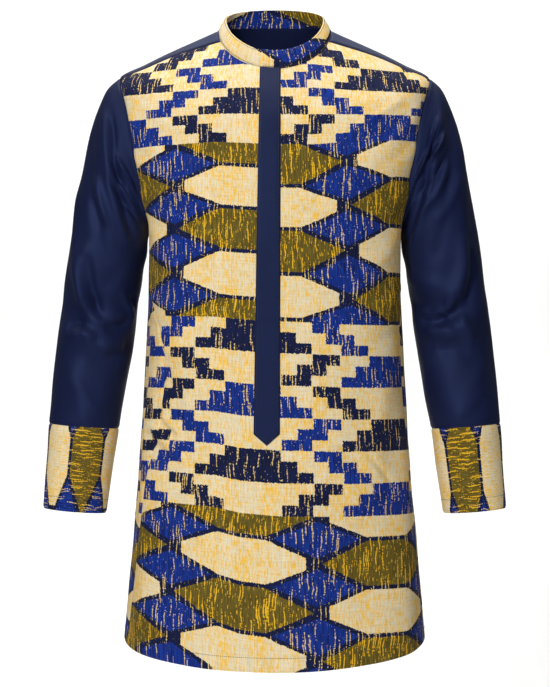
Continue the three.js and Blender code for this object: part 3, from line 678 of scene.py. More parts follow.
def read_sums(text):
    """The lines "result = terms and signs" of a text, as results, operations and lists of terms."""
    for line in text.splitlines():
        if " = " in line:
            result, *words = line.replace(" = ", " ").split()
            yield result, "".join(filter(OPERATIONS.get, words)), [w for w in words if w not in OPERATIONS]


def new_finish(name):
    finish = bpy.data.materials.new(name)
    finish.use_nodes = True
    finish.node_tree.nodes.clear()
    return finish, finish.node_tree

# %% [markdown]
# ## Finish: navy cotton twill
# Twill is woven so that fine ribs run diagonally. Piece-dyed and pressed, it has a soft low sheen and
# very little colour change. Real ribs are about 0.6 mm apart; they are drawn at 1.8 mm here, because
# finer ones don't show. Two soft noises add the slight unevenness of the dye and of the pressing.

# %% Navy twill
TWILL_RIB = 1.8  # millimetres from rib to rib
TWILL_SUMS = f"""
diagonal = across + down
ribs = diagonal * {2 * math.pi / TWILL_RIB}
rib = sine ribs
rib_share = rib * 0.10 + 0.34
dye_share = dye * 0.45 + -0.22
fuzz_share = fuzz * 0.30 + -0.15
both = rib_share + dye_share
tone = both + fuzz_share
rough = fuzz * 0.12 + 0.50
relief = rib * 0.5 + fuzz
"""


def make_twill(name, ground, light):
    finish, tree = new_finish(name)
    place = add(tree, "Attribute", {"attribute_name": "cloth"}, output=1)
    across, down = (add(tree, "SeparateXYZ", None, {0: place}, output=k) for k in (0, 1))
    flat = add(tree, "CombineXYZ", None, {0: across, 1: down})
    dye = add(tree, "TexNoise", None, {"Vector": flat, "Scale": 0.018, "Detail": 3.0})
    fuzz = add(tree, "TexNoise", None, {"Vector": flat, "Scale": 0.9, "Detail": 2.0})
    values = {"across": across, "down": down, "dye": dye, "fuzz": fuzz}
    for result, sign, terms in read_sums(TWILL_SUMS):
        inputs = {k: values[term] if term in values else float(term) for k, term in enumerate(terms)}
        values[result] = add(tree, "Math", {"operation": OPERATIONS[sign]}, inputs)
    colour = add(tree, "Mix", {"data_type": "RGBA"},
                 {0: values["tone"], 6: linear(ground), 7: linear(light)}, output=2)
    bump = add(tree, "Bump", None, {"Height": values["relief"], "Strength": 0.22, "Distance": 0.0003})
    shader = add(tree, "BsdfPrincipled", None, {
        "Base Color": colour, "Roughness": values["rough"], "Normal": bump, "Specular IOR Level": 0.36,
        "Specular Tint": linear("#8ea3ea"), "Sheen Weight": 0.02, "Sheen Roughness": 0.4,
    })
    add(tree, "OutputMaterial", None, {"Surface": shader})
    return finish


navy_twill = make_twill("navy_cotton_twill", "#0c112a", "#1b244a")
TWILL = (navy_twill, "navy_twill")  # a finish and a short name for it
print("made", navy_twill.name)

# %% [markdown]
# ## Finish: strip-cloth print on slubbed cotton
# The print follows West African strip weaving: bands of stepped pyramids and stairs take turns with bands
# of long hexagons and lozenges. It is charted by arithmetic, the way a weaver counts threads. All columns
# are mirror symmetric, so the distance from the column's centre line is enough to place every edge, and a
# few remainders give the row. Sizes are in millimetres of flat cloth.

# %% The chart of the print
REPEAT = 559  # one hexagon band and one stepped band
HEXAGON_BAND = 280
COLUMN = 214  # from one column's centre line to the next
HEXAGON_ROW, STEP_ROW, STEP_CELL = 70, 15.5, 22.8
HEXAGON_SHIFT = 16  # hexagon columns stand to the side of the stepped ones
FLAT_HALF, TOP_HALF = 34, 32  # half length of a hexagon's flat side, and half its height
TIP_CREAM, TIP_OLIVE = 90, 101  # half length of a hexagon
LOZENGE_HALF, LOZENGE_RISE = 64, 27  # half its length and half its height

WANDER_SUMS = """
u_away = wander_u * 4.4 + -2.2
u = u0 + u_away
v_away = wander_v * 5.0 + -2.5
v = v0 + v_away
"""
HEXAGON_SUMS = f"""
fall = v % {REPEAT}
in_hexagons = fall < {HEXAGON_BAND}
# where the front opening cuts the cloth, the two halves don't quite match
slip_band = v near {HEXAGON_BAND / 2} {HEXAGON_BAND / 2}
slip_side = u near 210 200
slip = slip_band * slip_side
shifted = u + {HEXAGON_SHIFT}
hex_u = slip * -54 + shifted
hex_share = hex_u * {1 / COLUMN} + 0.5
hex_column = floor hex_share
hex_offset = hex_column * {-COLUMN} + hex_u
hex_away = abs hex_offset
hex_drop = fall + {HEXAGON_ROW / 2}
hex_v = slip * -31 + hex_drop
hex_rows = hex_v / {HEXAGON_ROW}
hex_row = floor hex_rows
hex_part = hex_rows - hex_row
hex_middle = hex_part * {HEXAGON_ROW} + {-HEXAGON_ROW / 2}
hex_rise = abs hex_middle
hex_count = hex_row + hex_column
is_cream = hex_count % 2
taper = is_cream * -0.06 + 0.475
past_flat = hex_away - {FLAT_HALF}
past = past_flat max 0
drop_in = past * taper
hex_half = {TOP_HALF} - drop_in
tip = is_cream * {TIP_CREAM - TIP_OLIVE} + {TIP_OLIVE}
under_edge = hex_rise < hex_half
before_tip = hex_away < tip
in_hexagon = under_edge * before_tip
loz_u = hex_away * {-1 / LOZENGE_HALF} + {COLUMN / 2 / LOZENGE_HALF}
loz_v = hex_rise * {-1 / LOZENGE_RISE} + {HEXAGON_ROW / 2 / LOZENGE_RISE}
loz_sum = loz_u + loz_v
in_lozenge = loz_sum < 1
outside = 1 - in_hexagon
hex_ground = in_hexagons * outside
hex_blue = hex_ground * in_lozenge
hex_navy = hex_ground - hex_blue
olive_turn = 1 - is_cream
olive_here = in_hexagon * olive_turn
olive = olive_here * in_hexagons
"""
STEPPED_SUMS = f"""
step_v = fall - {HEXAGON_BAND}
step_share = u * {1 / COLUMN} + 0.5
step_column = floor step_share
step_offset = step_column * {-COLUMN} + u
step_away = abs step_offset
cells = step_away / {STEP_CELL}
odd = step_column % 2
rows = step_v / {STEP_ROW}
row = floor rows
periods = step_v / {6 * STEP_ROW}
period = floor periods
shifted_row = odd * 3 + row
step = shifted_row % 6
# rows 0 to 2 build the pyramid, rows 3 to 5 the stairs beside it
pyramid_edge = step + 1.75
in_width = cells < pyramid_edge
in_height = step < 2.5
pyramid = in_width * in_height
stair = step % 3
stair_at = 4.75 - stair
on_stair = cells near stair_at 0.95
below = step > 2.5
first = step < 0.5
stair_rows = below max first
stairs = on_stair * stair_rows
motif_any = pyramid max stairs
in_steps = 1 - in_hexagons
motif = motif_any * in_steps
guest = stairs * first
turn_a = period + odd
turn_b = turn_a + guest
is_blue = turn_b % 2
step_blue = motif * is_blue
step_navy = motif - step_blue
blue = hex_blue max step_blue
navy = hex_navy max step_navy
dark = blue + navy
"""
print((HEXAGON_SUMS + STEPPED_SUMS).count(" = "), "sums in the chart")

# %% [markdown]
# The cloth under the print is slubbed: some warp threads are thick and yellow for a few centimetres, and
# others skip the dye, so that broken gold and cream flecks run down through the dark colours. Cells of a
# Voronoi pattern, long and narrow along the thread, place the flecks, one long kind and one short, and
# noises sway them and break them up. The weave is two noises, each stretched along its threads, which are
# drawn about three times as thick as they are. The edges of the motifs wander by about a thread.

# %% Printed cotton
COLOURS = {
    "cream": "#dfd1b0", "straw": "#ecbb42", "tan": "#c39650", "blue": "#143796", "blue_deep": "#0b1a55",
    "navy": "#0c1128", "navy_soft": "#151e48", "olive": "#6f6024", "olive_dark": "#4e4116",
    "gold": "#efb81f", "pale": "#eed48c", "sand": "#c8953a",
}
NOISES = [
    # result, stretch across and down, size per millimetre, detail
    ("wander_u", (1, 1, 0), 0.22, 3.0),
    ("wander_v", (1, 0.35, 0), 0.45, 3.0),
    ("slub", (1, 0.16, 0), 0.52, 5.0),
    ("slub_weft", (0.12, 1, 0), 0.55, 4.0),
    ("slub_wide", (1, 0.3, 0), 0.035, 3.0),
    ("specks", (1, 0.6, 0), 0.55, 2.0),
    ("streak", (1, 0.07, 0), 0.55, 3.0),
    ("sway", (0.3, 1, 0), 0.035, 2.0),
    ("beads", (0.5, 1, 0), 0.42, 3.0),
    ("warp", (1, 0.03, 0), 0.62, 1.0),
    ("weft", (0.05, 1, 0), 0.62, 1.0),
    ("patch", (1, 0.4, 0), 0.03, 2.0),
]
FLECKS = [
    # result, millimetres from fleck to fleck across and down
    ("long", 4.4, 78.0),
    ("short", 2.8, 22.0),
]
FLECK_SWAY = 9.0  # millimetres
TONE_SUMS = """
patch_part = patch * -0.20 + 0.10
bead_part = beads * 0.62 + patch_part
long_sum = long + bead_part
short_sum = short + bead_part
straw_warp = slub * 6.0 + -5.0
straw_wide = slub_wide * 2.6 + straw_warp
straw_raw = slub_weft * 2.2 + straw_wide
weave = warp + weft
weave_tone = weave * 0.34 + 0.66
rough = weave * 0.10 + 0.72
relief = straw_raw * 0.2 + weave
wrong_side = right_side * -0.45 + 0.45
"""
SHARE_SUMS = """
# these results are shares, kept between 0 and 1
long_on = long_sum < 0.46
short_on = short_sum < 0.34
fleck = long_on max short_on
fleck_dark = fleck * 0.82
gold_long = long_sum < 0.50
gold_short = short_sum < 0.43
gold_any = gold_long max gold_short
fleck_gold = gold_any * 0.85
warm = beads * 4.0 + -1.6
bright = beads * 5.0 + -2.7
straw = straw_raw * 0.8
speck = specks > 0.66
speck_share = speck * 0.35
deep = streak * 3.4 + -1.2
"""
LAYERS = [
    # result, share of the second, first, second
    ("ground", "straw", "cream", "straw"),
    ("ground", "speck_share", "ground", "tan"),
    ("blue_cloth", "deep", "blue", "blue_deep"),
    ("navy_cloth", "deep", "navy", "navy_soft"),
    ("olive_cloth", "deep", "olive", "olive_dark"),
    ("thread", "warm", "pale", "sand"),
    ("gold_thread", "bright", "gold", "pale"),
    ("blue_cloth", "fleck_dark", "blue_cloth", "thread"),
    ("navy_cloth", "fleck_dark", "navy_cloth", "thread"),
    ("olive_cloth", "fleck_gold", "olive_cloth", "gold_thread"),
    ("cloth", "olive", "ground", "olive_cloth"),
    ("cloth", "blue", "cloth", "blue_cloth"),
    ("cloth", "navy", "cloth", "navy_cloth"),
]

# %% [markdown]
# The print is put together in three rounds: the noises and flecks, the sums of the chart, and then the
# layers of colour, from the bare cloth up to the navy.

# %% Make the print


def make_print(name):
    finish, tree = new_finish(name)
    place = add(tree, "Attribute", {"attribute_name": "cloth"}, output=1)
    values = {part: add(tree, "SeparateXYZ", None, {0: place}, output=k)
              for k, part in enumerate(("u0", "v0", "right_side"))}
    flat = add(tree, "CombineXYZ", None, {0: values["u0"], 1: values["v0"]})
    for result, stretch, size, detail in NOISES:
        stretched = add(tree, "VectorMath", {"operation": "MULTIPLY"}, {0: flat, 1: stretch})
        values[result] = add(tree, "TexNoise", None,
                             {"Vector": stretched, "Scale": size, "Detail": detail})
    sway = add(tree, "Math", {"operation": "MULTIPLY_ADD"},
               {0: values["sway"], 1: FLECK_SWAY, 2: values["u0"]})
    swayed = add(tree, "CombineXYZ", None, {0: sway, 1: values["v0"]})
    for result, across, down in FLECKS:
        cells = add(tree, "VectorMath", {"operation": "MULTIPLY"},
                    {0: swayed, 1: (1 / across, 1 / down, 0)})
        values[result] = add(tree, "TexVoronoi", {"voronoi_dimensions": "2D"},
                             {"Vector": cells, "Scale": 1.0})
    chart = WANDER_SUMS + HEXAGON_SUMS + STEPPED_SUMS + TONE_SUMS
    for sums, clamp in ((chart, False), (SHARE_SUMS, True)):
        for result, sign, terms in read_sums(sums):
            inputs = {k: values[term] if term in values else float(term) for k, term in enumerate(terms)}
            settings = {"operation": OPERATIONS[sign], "use_clamp": clamp}
            values[result] = add(tree, "Math", settings, inputs)
    tones = {name: linear(code) for name, code in COLOURS.items()}
    for result, share, first, second in LAYERS:
        tones[result] = add(tree, "Mix", {"data_type": "RGBA"},
                            {0: values[share], 6: tones[first], 7: tones[second]}, output=2)
    shaded = add(tree, "VectorMath", {"operation": "SCALE"},
                 {0: tones["cloth"], "Scale": values["weave_tone"]})
    cloth = add(tree, "Mix", {"data_type": "RGBA"},
                {0: values["wrong_side"], 6: shaded, 7: tones["pale"]}, output=2)
    bump = add(tree, "Bump", None, {"Height": values["relief"], "Strength": 0.35, "Distance": 0.0004})
    shader = add(tree, "BsdfPrincipled", None, {
        "Base Color": cloth, "Roughness": values["rough"], "Normal": bump, "Specular IOR Level": 0.12,
        "Sheen Weight": 0.04, "Sheen Roughness": 0.5, "Sheen Tint": linear("#ffffff"),
    })
    add(tree, "OutputMaterial", None, {"Surface": shader})
    return finish


printed_cotton = make_print("strip_print_slubbed_cotton")
PRINT = (printed_cotton, "printed_cotton")
print("made", printed_cotton.name, "with", len(printed_cotton.node_tree.nodes), "nodes")

# %% [markdown]
# Sewing thread is polyester, a little shinier than the cloth and dyed to match the navy. A fine wave
# paints shade into the grooves between its twisted plies, as darker diagonal bands.

# %% Sewing thread
PLY_WAVES, PLY_SHADE = 900.0, 0.55
thread_colour = linear("#141a35")
# the darker colour of the wave's bands is painted shade in the grooves between the plies
ply_groove_shade_colour = [PLY_SHADE * value for value in thread_colour[:3]] + [1.0]
navy_thread, tree = new_finish("navy_polyester_thread")
place = add(tree, "TexCoord", output=3)
ply = add(tree, "TexWave", {"bands_direction": "DIAGONAL"}, {"Vector": place, "Scale": PLY_WAVES})
colour = add(tree, "Mix", {"data_type": "RGBA"}, {0: ply, 6: thread_colour, 7: ply_groove_shade_colour}, output=2)
shader = add(tree, "BsdfPrincipled", None, {"Base Color": colour, "Roughness": 0.45, "IOR": 1.5})
add(tree, "OutputMaterial", None, {"Surface": shader})
print("made", navy_thread.name)

# %% [markdown]
# ## Where the print lies on the body
# The print keeps its place on the cloth, so each point needs its distances across and down the panel.
# Across is measured round the body from the centre front. Down is the height, eased by a table, because
# the cloth leans at the shoulders and the print runs a little larger towards the hem. Each row of the
# print also sags to the middle, and in the skirt it slants, because the cloth isn't cut quite on the
# grain.

# %% Place on the cloth
PRINT_CENTRE = -32  # where a column's centre line falls, to the side of the centre front
PRINT_DOWN = np.array([
    # millimetres below the origin, millimetres of print
    [0, -205], [58, -139.5], [95.8, -93], [136.6, -46.5], [181, 0], [214.5, 35], [277.6, 105], [341, 175],
    [409.6, 245], [441, 280], [487.2, 326.5], [581.4, 419.5], [676.3, 512.5], [723.5, 559], [756, 594],
    [825.5, 664], [896, 734], [960, 798],
])
PRINT_GROWTH = ([200, 700], [0.95, 1.05])  # millimetres down, and the print's scale across there
# how far the print's rows sag, in millimetres: a row for each height, a column for each place across
SAG_ACROSS = [-210, -90, -50, 0, 60, 110, 190]
SAG_DOWN = [80, 215, 440, 700, 830, 960]
SAG = np.array([
    [11, 3, 0, 0, 0, 5, 10],
    [3, -3, 0, 3, 3, -4, -12],
    [-6, -4, 0, 3, 5, 8, 9],
    [-14, -8, 0, 4, 5, 6, 6],
    [-28, -12, 0, 6, 8, 9, 10],
    [-34, -14, 0, 6, 8, 9, 9],
])


def print_sag(across, down):
    row = np.interp(down, SAG_DOWN, np.arange(len(SAG_DOWN)))
    column = np.interp(across, SAG_ACROSS, np.arange(len(SAG_ACROSS)))
    j = np.minimum(row.astype(int), len(SAG_DOWN) - 2)
    i = np.minimum(column.astype(int), len(SAG_ACROSS) - 2)
    upper = mix(SAG[j, i], SAG[j, i + 1], column - i)
    return mix(upper, mix(SAG[j + 1, i], SAG[j + 1, i + 1], column - i), row - j)


def print_map(points, centre_column, centre_x, shift=0):
    """Print coordinates of a grid of body points. Rows of the grid run across the panel."""
    step = np.linalg.norm(np.diff(points[..., :2], axis=1), axis=-1)
    across = np.concatenate([np.zeros((len(points), 1)), np.cumsum(step, 1)], 1)
    across = across - across[:, [centre_column]] + centre_x
    down = -points[..., 2]
    scale = np.interp(down, *PRINT_GROWTH)
    down_print = np.interp(down - print_sag(across, down), PRINT_DOWN[:, 0], PRINT_DOWN[:, 1])
    return np.stack([(across - PRINT_CENTRE) / scale + shift, down_print], -1)


print("print rows at the hem", np.interp(950, PRINT_DOWN[:, 0], PRINT_DOWN[:, 1]))

# %% [markdown]
# ## Front panel
# The front is cut in one piece with a slit for the placket. Its grid has the placket's edges as columns,
# so that the slit is clean. The rows start along the yoke seam, go down the armhole, and then down the
# side seams.

# %% Front panel
PLACKET_TOP_X, PLACKET_END_X = -6.6, -11.5
PLACKET_TOP_HALF, PLACKET_END_HALF = 15.6, 19.2
PLACKET_END_Z, PLACKET_TIP_Z = -609, -626
PLACKET_OVERLAP = 6
WINDOW_END = 2 + 16 / 17  # level where the slit ends, under the band


def placket_at(z):
    share = np.clip((z - BODY_RINGS[0][4]) / (PLACKET_END_Z - BODY_RINGS[0][4]), 0, 1)
    return mix(PLACKET_TOP_X, PLACKET_END_X, share), mix(PLACKET_TOP_HALF, PLACKET_END_HALF, share)


def front_z(level):
    return body_ring(level)[..., 3]


def angle_of_x(x, level):
    return np.degrees(np.arcsin(x / body_ring(level)[..., 0]))


shoulder = close_to_edges(26, 110, both=False)
under = np.linspace(0, 1, 44)[1:]
above_end = np.linspace(2, WINDOW_END, 76)[1:]
below_end = mix(WINDOW_END, 4, close_to_edges(84, 350)[1:])
skirt = np.concatenate([above_end, below_end])
arm_turns = mix(YOKE_FRONT, 180, under)


def front_edge(side):
    """Level and angle on the panel's edge, and level on the centre line, for every row."""
    arm_angle, arm_level = armhole(arm_turns)
    level = np.concatenate([shoulder * CORNER_LEVEL, arm_level, skirt])
    angle = np.concatenate([mix(YOKE_NECK, CORNER_ANGLE, shoulder), arm_angle, side_seam(skirt, side)])
    centre = np.concatenate([shoulder * CORNER_LEVEL, mix(CORNER_LEVEL, 2, under), skirt])
    return level[:, None], angle[:, None], centre[:, None]

# %% [markdown]
# From the panel's edges the grid is spread inwards to the placket. The ways through the wall are then
# bent along the neck and the armholes, and the cells of the slit are left out.

# %% Grid of the front
left_level, left_angle, centre_level = front_edge(1)
right_level, right_angle, _ = front_edge(-1)
band_x, band_half = placket_at(front_z(centre_level))
stops = [-band_half, PLACKET_OVERLAP - band_half, 0 * band_half, band_half - PLACKET_OVERLAP, band_half]
middle = np.concatenate([angle_of_x(band_x + stop, centre_level) for stop in stops], 1)
spread = close_to_edges(56, 250)
side_columns = len(spread) - 1
front_angle = np.concatenate([
    mix(-right_angle, middle[:, :1], spread[None, :-1]),
    middle,
    mix(middle[:, -1:], left_angle, spread[None, 1:]),
], 1)
front_level = np.concatenate([
    across_panel(right_level, centre_level, spread[None, :-1]),
    np.repeat(centre_level, len(stops), 1),
    across_panel(left_level, centre_level, 1 - spread[None, 1:]),
], 1)
front_points = body_point(front_angle, front_level)
front_through = -body_normal(front_angle, front_level) * CLOTH


front_through[0] = -neck_mitre(front_angle[0])
first_arm = len(shoulder) - 1
arm_rows = slice(first_arm, first_arm + len(arm_turns) + 1)
all_turns = np.concatenate([[YOKE_FRONT], arm_turns])
front_through[arm_rows, -1] = -arm_mitre(all_turns, 1)
front_through[arm_rows, 0] = -arm_mitre(all_turns, -1)

front_kept = np.ones((front_points.shape[0] - 1, front_points.shape[1] - 1), bool)
window_rows = first_arm + len(arm_turns) + len(above_end)
front_kept[:window_rows, side_columns + 1 : side_columns + 3] = False
front_map = print_map(front_points, side_columns + 2, band_x.ravel()[:, None])
front_cloth = cloth_piece(
    "front_panel", "front", front_points, front_through, front_map, *PRINT,
    kept=front_kept,
)

# %% [markdown]
# ## Back panel
# The back hangs from the yoke. It is the same cloth, so the print runs on round the body; its columns
# start at another place in the repeat, as they would on a panel cut from further along the length.

# %% Back panel
back_arm = np.linspace(0, 1, 40)
back_turns = mix(YOKE_BACK, -180, back_arm)
back_skirt = mix(2, 4, close_to_edges(140, 650)[1:])
back_seam_angle, back_seam_level = armhole(back_turns)
back_centre = np.concatenate([mix(YOKE_CENTRE, 2, back_arm), back_skirt])[:, None]
back_edge_level = np.concatenate([back_seam_level, back_skirt])[:, None]
half_shares = close_to_edges(60, 270)
back_angles, back_levels = [], []
for side in (1, -1):
    edge_angle = np.concatenate([back_seam_angle, side_seam(back_skirt, side)])[:, None]
    shares = half_shares[::-1] if side > 0 else half_shares[1:]
    angle = mix(180, edge_angle, shares[None])
    back_angles.append(angle if side > 0 else 360 - angle)
    back_levels.append(across_panel(back_edge_level, back_centre, 1 - shares[None]))
back_angle, back_level = np.concatenate(back_angles, 1), np.concatenate(back_levels, 1)
back_points = body_point(back_angle, back_level)
back_through = -body_normal(back_angle, back_level) * CLOTH
back_rows = slice(0, len(back_turns))
back_through[back_rows, 0] = -arm_mitre(back_turns, 1)
back_through[back_rows, -1] = -arm_mitre(back_turns, -1)
BACK_PRINT = 5 * COLUMN  # the back starts a whole number of columns along, clear of the front's mismatch
back_map = print_map(back_points, len(half_shares) - 1, 0, BACK_PRINT)
back_cloth = cloth_piece("back_panel", "back", back_points, back_through, back_map, *PRINT)

# %% [markdown]
# ## Yoke
# The yoke carries the garment. It goes over both shoulders and round the back of the neck, so its grid
# runs from one front seam, round the neck, to the other. Its lower edge follows the armhole and then the
# back seam.

# %% Yoke
TURN_STEP, BACK_STEPS = 12, 9  # degrees of the armhole to a step, and steps from its end to the centre back
ARM_STEPS = (YOKE_FRONT - YOKE_BACK) / TURN_STEP
YOKE_STEPS = ARM_STEPS + BACK_STEPS


def yoke_edge(q):
    """Angle and level on the lower edge, and angle at the neck, q steps from the front seam."""
    arm_angle, arm_level = armhole(YOKE_FRONT - TURN_STEP * q)
    share = np.clip((q - ARM_STEPS) / BACK_STEPS, 0, 1)
    angle = np.where(q < ARM_STEPS, arm_angle, mix(BACK_CORNER_ANGLE, 180, share))
    level = np.where(q < ARM_STEPS, arm_level, across_panel(BACK_CORNER_LEVEL, YOKE_CENTRE, share))
    return angle, level, mix(YOKE_NECK, 180, q / YOKE_STEPS)


half_q = np.unique(np.concatenate([close_to_edges(90, 330, both=False) * YOKE_STEPS, [ARM_STEPS]]))
low_angle, low_level, neck_angle = yoke_edge(half_q)
low_angle, neck_angle = (np.concatenate([half, 360 - half[-2::-1]]) for half in (low_angle, neck_angle))
low_level = np.concatenate([low_level, low_level[-2::-1]])
yoke_share = close_to_edges(34, 130)[:, None]
yoke_angle = mix(neck_angle[None], low_angle[None], yoke_share)
yoke_level = low_level[None] * yoke_share
yoke_points = body_point(yoke_angle, yoke_level)
yoke_through = -body_normal(yoke_angle, yoke_level) * CLOTH
on_arm = half_q <= ARM_STEPS
yoke_turns = YOKE_FRONT - TURN_STEP * half_q[on_arm]
yoke_through[-1, : on_arm.sum()] = -arm_mitre(yoke_turns, 1)
yoke_through[-1, ::-1][: on_arm.sum()] = -arm_mitre(yoke_turns, -1)
yoke_through[0] = -neck_mitre(neck_angle)
yoke_map = np.stack([distance_from(yoke_points, 1)[:1] + 0 * yoke_level, distance_from(yoke_points, 0)], -1)
yoke_cloth = cloth_piece("yoke_panel", "yoke", yoke_points, yoke_through, yoke_map, *TWILL)

# %% [markdown]
# ## Placket
# The placket is a straight band of twill with a pointed end, stitched down over the slit. It lies on the
# front panel, so it is made from the front's own points moved out. Under it a second band fills the slit.

# %% Placket bands
PLACKET_LIFT = 0.4 + CLOTH  # of the band's outer face, with a small gap under it
SEAM_GAP, UNDER_LIFT = 0.3, -0.1
PRESS_Z, PRESS_DEPTH, PRESS_WIDTH = -450, 0.9, 2.5  # a crease pressed across the band


def level_of_front_z(z):
    levels = np.linspace(0, 4, 4001)
    return float(np.interp(-z, -front_z(levels), levels))


def band_grid(offsets, levels, lift):
    """Points and normals of a band on the front. offsets(half) gives places from the band's centre."""
    centre, half = placket_at(front_z(levels))
    angle = angle_of_x(centre + offsets(half), levels)
    normal = body_normal(angle, levels)
    return body_point(angle, levels) + normal * lift, normal


def band_map(points):
    return np.stack([distance_from(points, 1), distance_from(points, 0)], -1)


end_level, tip_level = level_of_front_z(PLACKET_END_Z), level_of_front_z(PLACKET_TIP_Z)
band_share = mix(-1, 1, close_to_edges(9, 36))[None]
band_end = mix(tip_level, end_level, np.abs(band_share))
band_down = close_to_edges(150, 560)[:, None]
placket_points, placket_normals = band_grid(
    lambda half: half * band_share, band_down * band_end, PLACKET_LIFT)
press = np.exp(-(((placket_points[..., 2] - PRESS_Z) / PRESS_WIDTH) ** 2)) * PRESS_DEPTH
placket_points = placket_points - placket_normals * press[..., None]
placket_cloth = cloth_piece(
    "placket_band", "placket", placket_points, -placket_normals * CLOTH, band_map(placket_points),
    *TWILL, edges=("first", "last", "bottom"))
under_share = np.linspace(-1, 1, 5)[None]
under_levels = np.linspace(0, WINDOW_END, 120)[:, None]
under_points, under_normals = band_grid(
    lambda half: (half - PLACKET_OVERLAP - SEAM_GAP) * under_share, under_levels, UNDER_LIFT)
under_cloth = cloth_piece(
    "placket_under_band", "placket_under", under_points, -under_normals * CLOTH, band_map(under_points),
    *TWILL, edges=())

# %% [markdown]
# ## Sleeves and cuffs
# The sleeve starts on the armhole itself, where both walls are cut on the mitre, and ends at the cuff
# seam. The cuff goes on from there in print, with the cloth turned by a quarter, so that its hexagons
# stand upright.

# %% Sleeves and cuffs
SLEEVE_TURNS = np.arange(0, 360, 3.6)[None]
CUFF_PRINT = {1: (61, 0.95), -1: (45, 1.22)}  # from the seam to the middle of a hexagon, and the scale down
CUFF_SHIFT, CUFF_ROUND_SCALE = -13, 1.42  # how far the print stands off the front, and its scale round
CUFF_SCALE = (0.86, 63)  # millimetres to a degree of turn, and from hoop to hoop

for side in (1, -1):
    name = side_name(side)
    hoops = (close_to_edges(118, 540) * CUFF_HOOP)[:, None]
    points = sleeve_point(SLEEVE_TURNS, hoops, side)
    through = -sleeve_normal(SLEEVE_TURNS, hoops, side) * CLOTH
    through[0] = -arm_mitre(SLEEVE_TURNS[0], side)
    flat = np.stack(np.broadcast_arrays(SLEEVE_TURNS * SLEEVE_SCALE[0], hoops * SLEEVE_SCALE[1]), -1)
    cloth_piece(
        f"sleeve_{name}_panel", f"sleeve_{name}", points, through, flat, *TWILL,
        round_piece=True, edges=("top", "bottom"),
    )
    hoops = mix(CUFF_HOOP, HEM_HOOP, close_to_edges(34, 126))[:, None]
    points = sleeve_point(SLEEVE_TURNS, hoops, side)
    through = -sleeve_normal(SLEEVE_TURNS, hoops, side) * CLOTH
    centre, scale = CUFF_PRINT[side]
    down = ((hoops - CUFF_HOOP) * CUFF_SCALE[1] - centre) * scale + 4 * COLUMN - HEXAGON_SHIFT
    turned = (SLEEVE_TURNS + 90) % 360 - 180  # the closing line is at the back
    around = (turned * CUFF_SCALE[0] + CUFF_SHIFT) * CUFF_ROUND_SCALE + HEXAGON_BAND / 2
    flat = np.stack(np.broadcast_arrays(down, around), -1)
    cloth_piece(
        f"cuff_{name}_panel", f"cuff_{name}", points, through, flat, *PRINT,
        round_piece=True, edges=("top", "bottom"),
    )

# %% [markdown]
# ## Collar
# A stand collar is a stiff strip that stands up from the neck seam. It starts on top at the placket's
# edge, goes round the neck, and ends tucked under its own start. It bulges a little, because its two
# layers are turned over a stiffener.

# %% Collar
collar_start = float(angle_of_x(PLACKET_TOP_X - PLACKET_TOP_HALF, 0.0))
collar_end = 360 + float(angle_of_x(PLACKET_TOP_X + PLACKET_TOP_HALF - PLACKET_OVERLAP, 0.0))
COLLAR_TUCK = 3.4
TUCK_FROM, TUCK_TO = 360 + collar_start - 34, 360 + collar_start - 4
COLLAR_ROUND = 2 * COLUMN  # print that goes once round the neck, so that the lapped ends match
COLLAR_PRINT, LINING_PRINT = (912, 48), (905, 80)  # where the print starts, along the collar and down it
# millimetres of print along the collar, and how far it has slid down there, as the strip isn't on the grain
COLLAR_DRIFT = ([0, 20, 110, 200, 330], [0, -4, -34, -34, 0])


def collar_place(angle, share):
    """Point and outward normal of the collar, with the end that lies underneath tucked in."""
    angle, share = np.broadcast_arrays(np.asarray(angle, float), np.asarray(share, float))
    normal = collar_normal(angle, share)
    t = np.clip((angle - TUCK_FROM) / (TUCK_TO - TUCK_FROM), 0, 1)
    tuck = (t * t * (3 - 2 * t) * COLLAR_TUCK)[..., None]
    return collar_shape(angle, share) - normal * tuck, normal


collar_angles = mix(collar_start, collar_end, close_to_edges(150, 470))[None]
collar_shares = (1 - close_to_edges(12, 34))[:, None]
collar_points, collar_normals = collar_place(collar_angles, collar_shares)
collar_through = -collar_normals * COLLAR_CLOTH
collar_through[-1] = -neck_mitre(collar_angles[0], COLLAR_CLOTH)
collar_run = distance_from(collar_points, 1)[-1:]
once_round = np.interp(collar_start + 360, collar_angles[0], collar_run[0])
collar_run = collar_run / once_round * COLLAR_ROUND + 0 * collar_shares
collar_down = distance_from(collar_points, 0)
drift = np.interp(collar_run, *COLLAR_DRIFT)
collar_map = np.stack([collar_run + COLLAR_PRINT[0], collar_down + drift + COLLAR_PRINT[1]], -1)
collar_lining_map = np.stack([collar_run + LINING_PRINT[0], collar_down + LINING_PRINT[1]], -1)
collar_cloth = cloth_piece(
    "collar_band", "collar", collar_points, collar_through, collar_map, *PRINT,
    lining_map=collar_lining_map)

# %% [markdown]
# ## Stitches
# A row of machine stitches is a row of short arches of thread, about 3 mm apart, each going down into the
# cloth at both ends. One mesh holds a whole row. A stitch is a bent tube of five sides and four cross
# sections; the row follows a path of points on the cloth, resampled to equal steps.

# %% Stitch builder
STITCH_PITCH, STITCH_LENGTH = 3.1, 2.3
THREAD_RADIUS, SIDES = 0.32, 5
ARCH_SHARE, ARCH_HEIGHT = np.array([0, 0.18, 0.82, 1]), [-0.30, 0.16, 0.16, -0.30]


